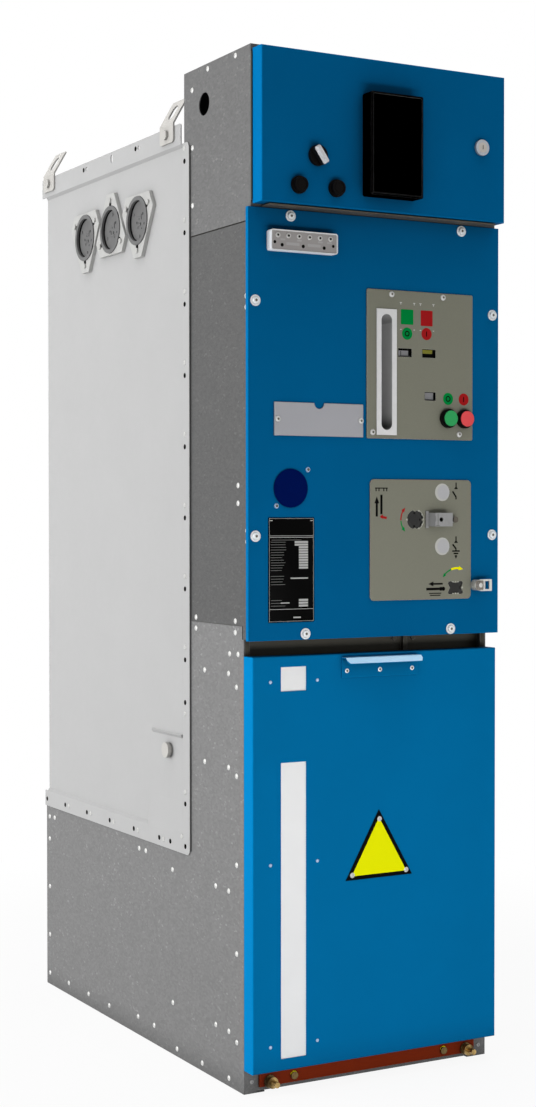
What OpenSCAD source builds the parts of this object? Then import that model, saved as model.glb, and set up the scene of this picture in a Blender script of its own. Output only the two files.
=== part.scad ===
// Ring main unit: one floor-standing medium-voltage switchgear cubicle.
// Millimetres, +Z up, front towards -Y. The origin is the centre of the four floor bolts.

/* [Cubicle] */
// Width over the side sheets
body_w = 500; // [420:10:600]
// Depth of the base, from its front edge to its back sheet
body_d = 880; // [730:10:1000]
// Thickness of the galvanised sheet
sheet = 2; // [1.5:0.5:3]
// Height of the seam between the base and the mechanism section
base_h = 798; // [700:1:900]
// Height of the mechanism section
mid_h = 683; // [640:1:820]
// Height of the low voltage box
box_h = 294; // [270:1:360]
// Depth of the mechanism section and of the low voltage box
mid_d = 250; // [200:1:300]
// How far the mechanism section stands in front of the base
mid_lead = 26; // [20:1:36]
// Gap left where two sheets meet in a seam
seam = 0.6; // [0.4:0.1:0.9]
// Width of the lip folded in round each front opening
lip = 18; // [12:1:24]

/* [Base] */
// Height of the open gap over the cable door
gap_h = 26; // [22:1:40]
// Height of the door's lower edge above the floor
door_z = 41; // [36:1:60]
// Width of the front posts
post_w = 25; // [18:1:32]
// Depth of the front posts
post_d = 22; // [15:1:30]
// Height of the sill between the posts
sill_h = 50; // [42:1:70]
// Height of the feet under the sill
foot_h = 3; // [2:1:6]
// Width of the flange that stands on the floor
floor_flange = 40; // [34:1:55]
// Radius of the floor bolt holes
floor_hole_r = 7; // [5:0.5:9]
// Distance between the floor bolts across the cubicle
floor_span_x = 450; // [370:10:540]
// Distance between the floor bolts from front to back
floor_span_y = 760; // [600:10:860]
// Width of the cable opening in the floor
cable_w = 300; // [200:10:360]
// Depth of the cable opening in the floor
cable_d = 300; // [150:10:340]

/* [Earth bar] */
// Height of the bar
bar_h = 25; // [20:1:30]
// Thickness of the bar
bar_t = 5; // [4:1:8]
// Height of the bar's lower edge above the floor
bar_z = 10; // [8:1:12]
// Radius of the terminal stud
stud_r = 5; // [4:0.5:6]
// How far the terminal stud stands out of the bar
stud_l = 28; // [20:1:34]

/* [Tank] */
// Thickness of the tank's sheet
tank_t = 3; // [2:0.5:5]
// Height of the flange's lower edge
tank_z = 376; // [320:1:420]
// Height of the roof
tank_top = 1652; // [1560:1:1740]
// Height of the flange that lies on the base
tank_flange = 32; // [24:1:40]
// Width of the flange that lies on the front sections
tank_lap = 24; // [16:1:34]
// Height of the upstand over the roof
upstand_h = 38; // [30:1:50]
// How far the panel inside the flange is set in
tank_joggle = 4; // [2:0.5:6]

/* [Bus sockets] */
// Radius of the bushing
bus_r = 46; // [38:1:52]
// Distance between two bushings
bus_pitch = 123; // [112:1:130]
// Height of the bushings
bus_z = 1540; // [1480:1:1560]
// Thickness of the clamping flange
bus_flange_t = 10; // [6:1:14]

/* [Lifting lugs] */
// Width of the lug
lug_w = 56; // [46:1:70]
// Thickness of the lug
lug_t = 3; // [2.5:0.5:5]
// Length of the slanted part
lug_l = 54; // [48:1:80]
// Angle of the slanted part from the vertical
lug_tilt = 30; // [20:1:40]

/* [Low voltage door] */
// Depth of the tray, from its face to its back edge
top_door_d = 31.5; // [26:0.5:40]
// How far the door is narrower than the box, on each side
top_door_inset = 2.6; // [2.2:0.1:4]
// Gap between the door's back edge and the box
top_door_gap = 2.5; // [2:0.1:4]
// Width of the relay
relay_w = 106; // [90:1:120]
// Height of the relay
relay_h = 175; // [140:1:190]
// How far the relay stands out of the door
relay_out = 30; // [20:1:40]

/* [Mechanism panel] */
// Thickness of the panel
panel_t = 3; // [2:0.5:5]
// How far the panel reaches past each side sheet
panel_over = 6.5; // [3:0.5:8]
// Thickness of the plates that carry the controls
plate_t = 2; // [1.5:0.5:3]
// Radius of the push buttons
button_r = 13.8; // [12:0.1:15]
// Radius of the drive sockets
drive_r = 17; // [14:0.5:19]

/* [Cable door] */
// Depth of the tray, from its face to its back edge
low_door_d = 31.5; // [24:0.5:40]
// Gap between the door's back edge and the base
low_door_gap = 0.5; // [0.4:0.1:0.8]
// Travel when the door is lifted off its hooks
lift_travel = 20; // [10:1:21]

/* [Clearances] */
// Radial clearance of a turning or sliding part in its seat
running = 0.3; // [0.2:0.1:0.5]

/* [Hidden] */
$fn = 64;

// Levels and depths that follow from the driving sizes. Depths count from the base's front edge.
front = -body_d / 2;
half_w = body_w / 2;
inner_w = half_w - sheet;
mid_top = base_h + mid_h;
top_z = mid_top + box_h;
mid_back = mid_d - mid_lead;
gap_top = base_h - 23;
gap_bottom = gap_top - gap_h;
step_y = 5;
panel_y = -mid_lead - panel_t;
plate_y = panel_y - plate_t;
tank_front = mid_back + 2;
tank_back = body_d - 10;
tank_floor_z = tank_z + tank_flange;
lap_z = tank_floor_z - 6;
tank_skin_x = half_w - tank_joggle + sheet;
box_door_face = -mid_lead - top_door_gap - top_door_d;
box_door_w = body_w - 2 * top_door_inset;
box_door_z0 = mid_top + 27;
box_door_z1 = top_z - 8;
box_open_z0 = mid_top + 36;
shelf_z = box_door_z0 - 4;
box_open_z1 = top_z - 22;
hinge_r = 1.4;
hinge_x = -half_w + 1;
hinge_y = -mid_lead - hinge_r;
bus_y = tank_front + 310;
low_door_face = -low_door_gap - low_door_d;
far = 4000;

// Places on the front, as [x, z].
selector_at = [-140.5, mid_top + 111];
pilot_at = [[-177, mid_top + 59], [-104, mid_top + 59]];
lock_at = [196, mid_top + 156];
relay_at = [2, mid_top + 137.5];
slot_at = [16, 1236];
flag_at = [[54.6, 1271.2], [105, 1271.5], [107.8, 1196.2]];
open_at = [145, 1158];
close_at = [180, 1158];
upper_drive_at = [76, 978.5];
lower_drive_at = [162.5, 857];
eye_at = [[135.5, 1027], [135.5, 931]];
drive_disc_r = drive_r + 1.5;
round_at = [-175, 1032];

// A flat outline in [depth, height], extruded along X from x.
module side_sheet(x, thickness) {
    translate([x, front, 0])
        rotate([90, 0, 90])
            linear_extrude(thickness) children();
}

// A flat outline in [x, height], extruded towards the back from the depth y.
module front_sheet(y, thickness) {
    translate([0, front + y + thickness, 0])
        rotate([90, 0, 0])
            linear_extrude(thickness) children();
}

// A round bar along Y from the depth y, at [x, height].
module bar_y(at, y, length, radius, sides = 64) {
    translate([at[0], front + y, at[1]])
        rotate([-90, 0, 0])
            cylinder(h = length, r = radius, $fn = sides);
}

// A box whose depth counts from the base's front edge.
module block(x0, x1, y0, y1, z0, z1) {
    translate([x0, front + y0, z0])
        cube([x1 - x0, y1 - y0, z1 - z0]);
}

// A rectangle by its centre, with round corners, as [x, height].
module rounded(at, size, radius) {
    translate(at)
        union() {
            square([size[0] - 2 * radius, size[1]], center = true);
            square([size[0], size[1] - 2 * radius], center = true);
            for (sx = [-1, 1], sz = [-1, 1])
                translate([sx * (size[0] / 2 - radius), sz * (size[1] / 2 - radius)]) circle(r = radius);
        }
}

// Its children, and the same mirrored to the other side.
module both_sides() {
    children();
    mirror([1, 0, 0]) children();
}

/* Base */

module base_side() {
    difference() {
        union() {
            side_sheet(-half_w, sheet)
                polygon([[0, 0], [body_d, 0], [body_d, lap_z], [mid_back, lap_z], [mid_back, base_h - seam],
                         [step_y, base_h - seam], [step_y, gap_top], [0, gap_top]]);
            block(-inner_w, -half_w + floor_flange, 0, body_d, 0, sheet);
        }
        for (sy = [-1, 1])
            translate([-floor_span_x / 2, sy * floor_span_y / 2, -1])
                cylinder(h = sheet + 2, r = floor_hole_r);
    }
}

module base_side_left() {
    color("#85878a") base_side();
}

module base_side_right() {
    color("#85878a") mirror([1, 0, 0]) base_side();
}

module base_back() {
    color("#85878a") block(-inner_w, inner_w, body_d - sheet, body_d, sheet, lap_z);
}

module base_floor() {
    cable_y = post_d + 40;
    color("#85878a")
        difference() {
            block(-inner_w, inner_w, post_d, body_d - sheet, sheet, 2 * sheet);
            block(-cable_w / 2, cable_w / 2, cable_y, cable_y + cable_d, 0, 3 * sheet);
            for (sx = [-1, 1], sy = [-1, 1])
                translate([sx * floor_span_x / 2, sy * floor_span_y / 2, 0])
                    cylinder(h = 3 * sheet, r = 2 * floor_hole_r);
        }
}

module front_frame() {
    top_w = 12;
    color("#85878a") {
        both_sides() {
            front_sheet(0, sheet)
                polygon([[-inner_w, sheet], [-half_w + post_w, sheet], [-half_w + post_w, gap_bottom - 10],
                         [-half_w + top_w, gap_bottom - 10], [-half_w + top_w, gap_top], [-inner_w, gap_top]]);
            block(-inner_w, -inner_w + sheet, sheet, post_d, sheet, gap_top);
        }
        block(-half_w + post_w, half_w - post_w, 0, sheet, foot_h, sill_h);
        block(-half_w + post_w, half_w - post_w, sheet, post_d, sill_h - sheet, sill_h);
    }
}

module interlock_rail() {
    rail_y = post_d;
    bolt_x = 85;
    color("#2c2a28") {
        block(-inner_w + sheet, inner_w - sheet, rail_y, rail_y + sheet, gap_bottom - 45, gap_top);
        block(bolt_x - 4, bolt_x + 4, rail_y - 8, rail_y, gap_bottom - 30, gap_top - 4);
        for (dx = [-20, 20])
            bar_y([bolt_x + dx, gap_top - 8], rail_y - 4, 4, 4, 24);
    }
}

/* Earth bar */

bar_half = half_w - post_w - 3;
stud_x = half_w - 47;
bar_bolt_x = half_w - 95;

module earth_bar() {
    color("#6b1e0a")
        difference() {
            block(-bar_half, bar_half, -bar_t, 0, bar_z, bar_z + bar_h);
            for (sx = [-1, 1])
                bar_y([sx * stud_x, bar_z + 8], -bar_t - 1, bar_t + 2, stud_r);
        }
}

module earth_studs() {
    nut_t = 8;
    washer_t = 2.5;
    color("#b98d4a")
        for (sx = [-1, 1]) {
            at = [sx * stud_x, bar_z + 8];
            bar_y(at, -bar_t - stud_l, stud_l + bar_t, stud_r);
            bar_y(at, -bar_t - washer_t, washer_t, stud_r + 6);
            bar_y(at, -bar_t - washer_t - nut_t, nut_t, stud_r + 4.2, 6);
            bar_y(at, -bar_t - 2 * washer_t - nut_t, washer_t, stud_r + 5);
            bar_y([sx * bar_bolt_x, bar_z + bar_h / 2 - 1], -bar_t - 3.5, 3.5, 6.5);
        }
}

/* Mechanism section */

module mid_side() {
    side_sheet(-half_w, sheet)
        polygon([[-mid_lead, gap_top], [step_y - seam, gap_top], [step_y - seam, base_h], [mid_back, base_h],
                 [mid_back, mid_top - seam], [-mid_lead, mid_top - seam]]);
    block(-inner_w, -inner_w + lip, -mid_lead, sheet - mid_lead, gap_top, mid_top - seam);
}

module mid_side_left() {
    color("#808285") mid_side();
}

module mid_side_right() {
    color("#808285") mirror([1, 0, 0]) mid_side();
}

module mid_floor() {
    color("#808285") {
        block(-inner_w, inner_w, sheet - mid_lead, mid_back, gap_top + 1, gap_top + 1 + sheet);
        block(-inner_w + lip, inner_w - lip, -mid_lead, sheet - mid_lead, gap_top + 1, gap_top + lip);
    }
}

/* Tank */

module tank_wrap() {
    color("#c8c8c8")
        difference() {
            block(-tank_skin_x + tank_t, tank_skin_x - tank_t, tank_front, tank_back, tank_floor_z, tank_top);
            block(-far, far, tank_front + tank_t, tank_back - tank_t, tank_floor_z + tank_t, tank_top - tank_t);
        }
}

// The flanged side: a panel set in from its flange by a joggle, with an upstand over the roof.
module tank_side() {
    flange_y = mid_back - tank_lap + 3;
    out = half_w + sheet;
    upstand_y = flange_y + 31;
    corner = 8;
    ramp = 6;
    run_out = 150;
    skin = -tank_skin_x;
    // Flange on the base and on the front sections
    side_sheet(-out, sheet)
        difference() {
            union() {
                translate([flange_y + corner, tank_z])
                    square([body_d + 3 - flange_y - corner, tank_flange]);
                translate([flange_y, tank_z + corner])
                    square([tank_front - flange_y, tank_top - tank_z - 2 * corner]);
                translate([flange_y + corner, tank_z])
                    square([tank_front - flange_y - corner, tank_top - tank_z]);
                for (z = [tank_z + corner, tank_top - corner])
                    translate([flange_y + corner, z]) circle(r = corner);
            }
        }
    // Panel
    difference() {
        block(skin, skin + tank_t, tank_front, tank_back, tank_floor_z, tank_top);
        for (i = [-1 : 1])
            translate([skin - 1, front + bus_y + i * bus_pitch, bus_z])
                rotate([0, 90, 0]) cylinder(h = tank_t + 2, r = bus_r - 6);
    }
    // Joggles between the panel and its flange; the lower one runs out towards the front
    translate([0, front + tank_back, 0])
        rotate([90, 0, 0]) {
            linear_extrude(tank_back - tank_front - run_out)
                polygon([[-out, tank_floor_z], [skin, tank_floor_z], [skin, tank_floor_z + ramp]]);
            linear_extrude(tank_back - tank_front) {
                polygon([[-out, tank_top], [skin, tank_top], [skin, tank_top - ramp]]);
            }
        }
    translate([0, front + tank_front + run_out, 0])
        rotate([90, 0, 0])
            linear_extrude(run_out)
                polygon([[-out, tank_floor_z], [skin, tank_floor_z], [skin, tank_floor_z + 60]]);
    translate([0, front + tank_front, tank_floor_z])
        linear_extrude(tank_top - tank_floor_z)
            polygon([[-out, 0], [skin, 0], [skin, ramp]]);
    // Upstand
    difference() {
        side_sheet(-out, sheet)
            union() {
                translate([upstand_y, tank_top]) square([body_d + 10 - upstand_y, upstand_h - 5]);
                translate([upstand_y + 5, tank_top]) square([body_d + 5 - upstand_y, upstand_h]);
                translate([upstand_y + 5, tank_top + upstand_h - 5]) circle(r = 5);
            }
        for (i = [-1, 1])
            translate([-out - 1, front + bus_y + i * bus_pitch, tank_top + 25])
                rotate([0, 90, 0]) cylinder(h = sheet + 2, r = 4);
        side_sheet(-out - 1, sheet + 2)
            rounded([bus_y, tank_top + 25], [9, 16], 4.4);
    }
}

module tank_side_left() {
    rib_y = tank_front + 12;
    color("#cbcbcb") {
        tank_side();
        translate([0, front + rib_y + 126, 587])
            rotate([90, 0, 0])
                linear_extrude(126) polygon([[-tank_skin_x, -4], [-tank_skin_x - 3, 1], [-tank_skin_x, 4]]);
    }
}

module tank_side_right() {
    color("#cbcbcb") mirror([1, 0, 0]) tank_side();
}

module gas_valve_cap() {
    color("#dcdad6")
        translate([-tank_skin_x, front + tank_front + 65, 557])
            rotate([0, -90, 0]) {
                cylinder(h = 4, r = 11);
                translate([0, 0, 4]) cylinder(h = 6, r = 14);
            }
}

// One lug on the outer face of the upstand: a bent strip with a wide slot in its slanted part.
module lug(y) {
    out = half_w + sheet;
    foot_z = tank_top + 9;
    bend_z = tank_top + upstand_h + 5;
    run = lug_l * sin(lug_tilt);
    rise = lug_l * cos(lug_tilt);
    slot_w = 0.37 * lug_w;
    slot_l = 0.6 * lug_l;
    difference() {
        intersection() {
            translate([0, front + y + lug_w / 2, 0])
                rotate([90, 0, 0])
                    linear_extrude(lug_w)
                        polygon([[-out - lug_t, foot_z], [-out, foot_z], [-out, bend_z],
                                 [-out + run, bend_z + rise],
                                 [-out + run - lug_t * cos(lug_tilt), bend_z + rise + lug_t * sin(lug_tilt)],
                                 [-out - lug_t, bend_z + lug_t * tan(lug_tilt / 2)]]);
            side_sheet(-half_w - 50, 150)
                rounded([y, (foot_z + bend_z + rise + lug_t) / 2], [lug_w, bend_z + rise + lug_t - foot_z], 7);
        }
        translate([-out, front + y, bend_z])
            rotate([0, lug_tilt, 0])
                translate([-lug_t - 5, 0, lug_l / 2])
                    rotate([90, 0, 90])
                        linear_extrude(lug_t + 10) rounded([0, 0], [slot_w, slot_l], slot_w / 2 - 0.1);
    }
    translate([-out - lug_t, front + y, tank_top + 25])
        rotate([0, -90, 0]) cylinder(h = 5, r = 9, $fn = 6);
}

module lifting_lugs() {
    color("#dcdad6")
        both_sides() {
            lug(tank_front + 61);
            lug(tank_back - 21);
        }
}

/* Bus sockets */

// Three-cornered outline round a bushing, its corners cut square.
module bus_outline() {
    intersection() {
        circle(r = 2 * (bus_r + 3), $fn = 3);
        rotate(180) circle(r = 2 * (bus_r + 23), $fn = 3);
    }
}

// Children placed on each of the three bushings, local z pointing out of the tank's left side.
module at_bushings() {
    for (i = [-1 : 1])
        translate([-tank_skin_x, front + bus_y + i * bus_pitch, bus_z])
            rotate([0, -90, 0])
                rotate(i == 0 ? 0 : 180) children();
}

module bus_flanges() {
    bolt_r = 5;
    bolt_at = bus_r + 10;
    plate_h = bus_flange_t - 3;
    color("#cfcfcf")
        both_sides()
            at_bushings() {
                difference() {
                    linear_extrude(plate_h) bus_outline();
                    translate([0, 0, -1]) cylinder(h = bus_flange_t + 2, r = bus_r);
                }
                for (a = [0, 120, 240])
                    rotate(a) translate([bolt_at, 0, plate_h]) cylinder(h = 3, r = bolt_r, $fn = 32);
            }
}

module bus_plugs() {
    rim = 8;
    recess = 7;
    floor_h = bus_flange_t - 1 - recess;
    color("#7d7d7d")
        both_sides()
            at_bushings() {
                difference() {
                    cylinder(h = bus_flange_t - 1, r = bus_r - running);
                    translate([0, 0, floor_h]) cylinder(h = recess + 1, r = bus_r - rim);
                    for (a = [60, 180, 300])
                        rotate(a) translate([bus_r, 0, floor_h - 0.6]) cylinder(h = bus_flange_t, r = 7, $fn = 32);
                }
                translate([0, 0, floor_h / 2]) {
                    for (a = [0, 120, 240])
                        rotate(a) translate([bus_r - rim - 9, 0, 0]) cylinder(h = floor_h / 2 + 1.2, r = 3);
                    linear_extrude(floor_h / 2 + 1) {
                        polygon([[-12, -8], [-9, -8], [-9, 6], [-2, 6], [-2, 9], [-12, 9]]);
                        polygon([[2, -9], [14, -9], [14, -6], [9, -6], [9, 5], [6, 5], [6, -6], [2, -6]]);
                    }
                }
            }
}

/* Low voltage box */

module box_side() {
    wire_r = 20;
    difference() {
        side_sheet(-half_w, sheet)
            polygon([[-mid_lead, mid_top], [mid_back, mid_top], [mid_back, top_z], [-mid_lead, top_z]]);
        translate([-half_w - 1, front + 145, top_z - 68])
            rotate([0, 90, 0]) cylinder(h = sheet + 2, r = wire_r);
    }
    block(-inner_w, -inner_w + lip, -mid_lead, sheet - mid_lead, mid_top, top_z);
}

module box_side_left() {
    color("#8c8e91") box_side();
}

module box_side_right() {
    color("#8c8e91") mirror([1, 0, 0]) box_side();
}

module box_back() {
    color("#8c8e91") block(-inner_w, inner_w, mid_back - sheet, mid_back, mid_top, top_z);
}

module box_roof() {
    color("#8c8e91") {
        block(-inner_w, inner_w, sheet - mid_lead, mid_back - sheet, top_z - sheet, top_z);
        block(-inner_w + lip, inner_w - lip, -mid_lead, sheet - mid_lead, box_open_z1, top_z);
    }
}

module box_floor() {
    color("#8c8e91") {
        block(-inner_w, inner_w, sheet - mid_lead, mid_back - sheet, mid_top, mid_top + sheet);
        block(-inner_w + lip, inner_w - lip, -mid_lead, sheet - mid_lead, mid_top, box_open_z0);
        // Shelf under the door, standing out over the section below
        block(-inner_w + lip, inner_w - lip, box_door_face + 3, sheet - mid_lead, shelf_z, shelf_z + 2);
    }
}

module box_hinge() {
    leaf_w = 9;
    color("#5c5f63") {
        translate([hinge_x, front + hinge_y, box_door_z0 + 6])
            cylinder(h = box_door_z1 - box_door_z0 - 12, r = hinge_r, $fn = 32);
        block(hinge_x, hinge_x + leaf_w, -mid_lead - 0.8, -mid_lead, box_door_z0 + 6, box_door_z1 - 6);
    }
}

// A flat outline with its two lower corners rounded, from 0 to h.
module bent_outline(x0, x1, h, radius) {
    translate([x0, radius]) square([x1 - x0, h - radius]);
    translate([x0 + radius, 0]) square([x1 - x0 - 2 * radius, h]);
    for (x = [x0 + radius, x1 - radius])
        translate([x, radius]) circle(r = radius, $fn = 32);
}

// An open tray: a face with four returns towards the back, bent along every front edge.
module tray(w, z0, z1, face_y, depth) {
    bend = sheet + 0.5;
    difference() {
        intersection() {
            translate([0, front + face_y, z0]) linear_extrude(z1 - z0) bent_outline(-w / 2, w / 2, depth, bend);
            translate([-w / 2, front + face_y, 0])
                rotate([90, 0, 90])
                    linear_extrude(w)
                        mirror([1, -1, 0]) bent_outline(z0, z1, depth, bend);
        }
        block(-w / 2 + sheet, w / 2 - sheet, face_y + sheet, face_y + depth + 1, z0 + sheet, z1 - sheet);
    }
}

module box_door() {
    case_clear = 2;
    color("#004a75")
        difference() {
            tray(box_door_w, box_door_z0, box_door_z1, box_door_face, top_door_d);
            front_sheet(box_door_face - 1, sheet + 2)
                translate(relay_at)
                    square([relay_w - 10 + case_clear, relay_h - 10 + case_clear], center = true);
            bar_y(lock_at, box_door_face - 1, sheet + 2, 11 + running);
            bar_y(selector_at, box_door_face - 1, sheet + 2, 11);
            for (at = pilot_at)
                bar_y(at, box_door_face - 1, sheet + 2, 11);
        }
}

// A flat outline as wide as 2 * half, from 0 forward to -depth, its two front corners cut off.
module chamfered_half(half, depth, cut) {
    polygon([[-half, 1], [half, 1], [half, cut - depth], [half - cut, -depth], [cut - half, -depth],
             [-half, cut - depth]]);
}

module relay() {
    case_l = 70;
    bezel = 4;
    chamfer = 2.5;
    color("#0c0c0e") {
        difference() {
            intersection() {
                front_sheet(box_door_face - relay_out, relay_out) rounded(relay_at, [relay_w, relay_h], 4);
                translate([relay_at[0], front + box_door_face, relay_at[1] - relay_h])
                    linear_extrude(2 * relay_h) chamfered_half(relay_w / 2, relay_out, chamfer);
                translate([relay_at[0] - relay_w, front + box_door_face, relay_at[1]])
                    rotate([90, 0, 90])
                        linear_extrude(2 * relay_w)
                            mirror([1, -1, 0]) chamfered_half(relay_h / 2, relay_out, chamfer);
            }
            front_sheet(box_door_face - relay_out - 1, 1.8)
                rounded(relay_at, [relay_w - 2 * bezel, relay_h - 2 * bezel], 2);
        }
        front_sheet(box_door_face, case_l)
            translate(relay_at) square([relay_w - 10, relay_h - 10], center = true);
    }
}

module door_controls() {
    body_l = 40;
    color("#101012") {
        difference() {
            union() {
                bar_y(selector_at, box_door_face - 6, 6, 17.5);
                bar_y(selector_at, box_door_face, body_l, 11 - running);
            }
            bar_y(selector_at, box_door_face - 7, 13, 6 + running);
        }
        for (at = pilot_at) {
            bar_y(at, box_door_face - 4, 4, 15);
            difference() {
                bar_y(at, box_door_face - 12, 8, 12.5);
                bar_y(at, box_door_face - 13, 2.5, 10);
            }
            bar_y(at, box_door_face - 11.5, 1, 8);
            bar_y(at, box_door_face, body_l, 11 - running);
        }
    }
}

module selector_handle() {
    turn = 125;
    color("#e8e8e6") {
        bar_y(selector_at, box_door_face - 6 - running, 8, 6);
        translate([selector_at[0], front + box_door_face - 6 - running, selector_at[1]])
            rotate([90, 0, 0])
                rotate(turn) {
                    linear_extrude(9) rounded([0, 0], [33, 12], 3);
                    translate([0, 0, 8])
                        linear_extrude(7) rounded([0, 0], [31, 6], 2.5);
                }
    }
}

module door_lock() {
    color("#c9c9c6")
        difference() {
            union() {
                bar_y(lock_at, box_door_face - running - 5, 5, 14);
                bar_y(lock_at, box_door_face - running, 22, 11);
            }
            translate([lock_at[0], front + box_door_face - running - 5, lock_at[1]])
                cube([3, 6, 13], center = true);
        }
}

/* Mechanism panel */

panel_z0 = gap_top - 1;
panel_z1 = box_door_z0 - 5;
panel_half = half_w + panel_over;

module mid_panel() {
    color("#00558b")
        difference() {
            union() {
                block(-panel_half, panel_half, panel_y, -mid_lead, panel_z0, panel_z1);
                both_sides() block(-panel_half, -half_w - 0.8, panel_y, panel_y + 9, panel_z0, panel_z1);
            }
            bar_y(upper_drive_at, panel_y - 1, panel_t + 2, drive_disc_r + running);
            bar_y(lower_drive_at, panel_y - 1, panel_t + 2, drive_disc_r + running);
            bar_y(round_at, panel_y - 1, panel_t + 2, 30);
            front_sheet(panel_y - 1, panel_t + 2) rounded(slot_at, [30, 210], 5);
            for (at = flag_at)
                front_sheet(panel_y - 1, panel_t + 2) translate(at) square([30, 17], center = true);
        }
}

module voltage_indicator() {
    at = [-156, 1448.5];
    size = [130, 35];
    depth = 16;
    rim = 1.6;
    recess = 1.5;
    face_y = panel_y - depth + recess;
    sockets = [for (i = [0 : 5]) [at[0] - 51.5 + i * 20.5, at[1] + 8]];
    color("#c6c8ca") {
        difference() {
            front_sheet(panel_y - depth, depth) rounded(at, size, 4);
            front_sheet(panel_y - depth - 1, recess + 1) rounded(at, size - [2 * rim, 2 * rim], 2);
            for (p = sockets)
                bar_y(p, face_y - 1, 8, 2, 32);
            for (i = [-1 : 1])
                bar_y([at[0] + i * 41, at[1] - 8.5], face_y - 1, 4, 2.6, 32);
        }
        for (p = sockets)
            difference() {
                bar_y(p, face_y - 1.3, 1.4, 4.2, 32);
                bar_y(p, face_y - 2, 3, 2.6, 32);
            }
    }
}

module document_plate() {
    at = [-119.5, 1149.5];
    size = [176, 56.5];
    color("#98989c")
        front_sheet(panel_y - plate_t, plate_t)
            difference() {
                translate(at) square(size, center = true);
                translate([at[0], at[1] + size[1] / 2]) circle(r = 10);
            }
}

module round_window() {
    color("#000d3f") {
        bar_y(round_at, panel_y - 1.5, 1.5, 33);
        bar_y(round_at, panel_y, 6, 30 - running);
    }
}

module mechanism_plate() {
    centre = [87.2, 1249.5];
    size = [222.5, 259];
    color("#777768")
        front_sheet(plate_y, plate_t)
            difference() {
                rounded(centre, size, 3);
                rounded(slot_at, [30, 210], 5);
                for (at = flag_at)
                    translate(at) square([at[1] < 1200 ? 23.5 : 28.5, 15], center = true);
            }
}

module lever_slot() {
    frame = [41, 219.5];
    slot = [22.3, 202];
    depth = 40;
    wall = 2;
    color("#c8c8cc")
        difference() {
            union() {
                front_sheet(plate_y - plate_t, plate_t)
                    translate(slot_at) square(frame, center = true);
                front_sheet(plate_y, depth) rounded(slot_at, [slot[0] + 2 * wall, slot[1] + 2 * wall], 5);
            }
            front_sheet(plate_y - plate_t - 1, depth + plate_t + 1 - wall)
                rounded(slot_at, slot, slot[0] / 2 - 0.1);
        }
}

module position_flags() {
    color("#e0e0dc")
        for (at = flag_at)
            block(at[0] - 16, at[0] + 16, -mid_lead, 2 - mid_lead, at[1] - 10, at[1] + 10);
}

collar_l = 6;
button_out = 6;
button_travel = 4;

module button_collars() {
    color("#0c0c0c")
        for (at = [open_at, close_at])
            difference() {
                bar_y(at, plate_y - collar_l, collar_l, button_r + 3);
                bar_y(at, plate_y - collar_l - 1, collar_l + 2, button_r + running);
            }
}

module push_button(at) {
    bar_y(at, plate_y - collar_l - button_out, collar_l + button_out - button_travel - running, button_r);
}

module open_button() {
    color("#238245") push_button(open_at);
}

module close_button() {
    color("#c8323c") push_button(close_at);
}

// The upper lever hole: round, with four small round lands at its sides.
module round_keyhole() {
    difference() {
        circle(r = drive_r);
        for (a = [0 : 90 : 270])
            rotate(a) translate([drive_r + 1, 0]) circle(r = 3.5, $fn = 32);
    }
}

// The lower lever hole: four corners joined by hollow sides, each side with a small round land.
module star_keyhole() {
    w = 2 * drive_r - 2;
    h = 0.72 * w;
    difference() {
        rounded([0, 0], [w, h], 3.5);
        for (sx = [-1, 1]) {
            translate([sx * (w / 2 + 8.5), 0]) circle(r = 11);
            translate([sx * (w / 2 - 2), 0]) circle(r = 2, $fn = 32);
        }
        for (sz = [-1, 1]) {
            translate([0, sz * (h / 2 + 12.6)]) circle(r = 15);
            translate([0, sz * (h / 2 - 1)]) circle(r = 2, $fn = 32);
        }
    }
}

module switch_plate() {
    centre = [89.2, 943];
    size = [212.5, 211.5];
    color("#777768")
        front_sheet(plate_y, plate_t)
            difference() {
                rounded(centre, size, 8);
                translate(upper_drive_at) round_keyhole();
                translate(lower_drive_at) star_keyhole();
                for (at = eye_at)
                    translate(at) circle(r = 15);
            }
}

// A turning socket behind the plate for the operating lever: a round hole with notches across it.
module drive(at, notches) {
    length = 26;
    cavity = 14;
    face_y = panel_y + running;
    difference() {
        bar_y(at, face_y, length, drive_disc_r);
        bar_y(at, face_y - 1, cavity + 1, 10);
        for (i = [0 : notches - 1])
            translate([at[0], front + face_y, at[1]])
                rotate([0, i * 360 / notches, 0])
                    translate([10, 0, 0])
                        cube([6, 2 * cavity, 4], center = true);
    }
}

module upper_drive() {
    color("#3c3c3c") drive(upper_drive_at, 4);
}

module lower_drive() {
    color("#3c3c3c") drive(lower_drive_at, 4);
}

// A folded bracket with the padlock's eye, a tall foot on its left and a stop pin on its right.
module padlock_hasp() {
    centre = upper_drive_at + [48, 0];
    fold_t = 2.5;
    stand = 18;
    eye_r = 4;
    foot_h = 15;
    face_h = 12;
    color("#b4b4b2") {
        difference() {
            union() {
                translate([centre[0], front + plate_y, centre[1] - face_h])
                    linear_extrude(2 * face_h)
                        polygon([[20, 0], [20, -stand], [-17, -stand], [-21, -fold_t], [-21, 0], [-19, 0],
                                 [-15, fold_t - stand], [20 - fold_t, fold_t - stand], [20 - fold_t, 0]]);
                block(centre[0] - 26, centre[0] - 20.5, plate_y - fold_t, plate_y,
                      centre[1] - foot_h, centre[1] + foot_h);
            }
            bar_y(centre + [-4, 0], plate_y - stand - 1, fold_t + 2, eye_r);
        }
        bar_y(centre + [28, 0], plate_y - 9, 9, 5);
        bar_y(centre + [28, 0], plate_y - 3, 3, 6.5);
    }
}

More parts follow.
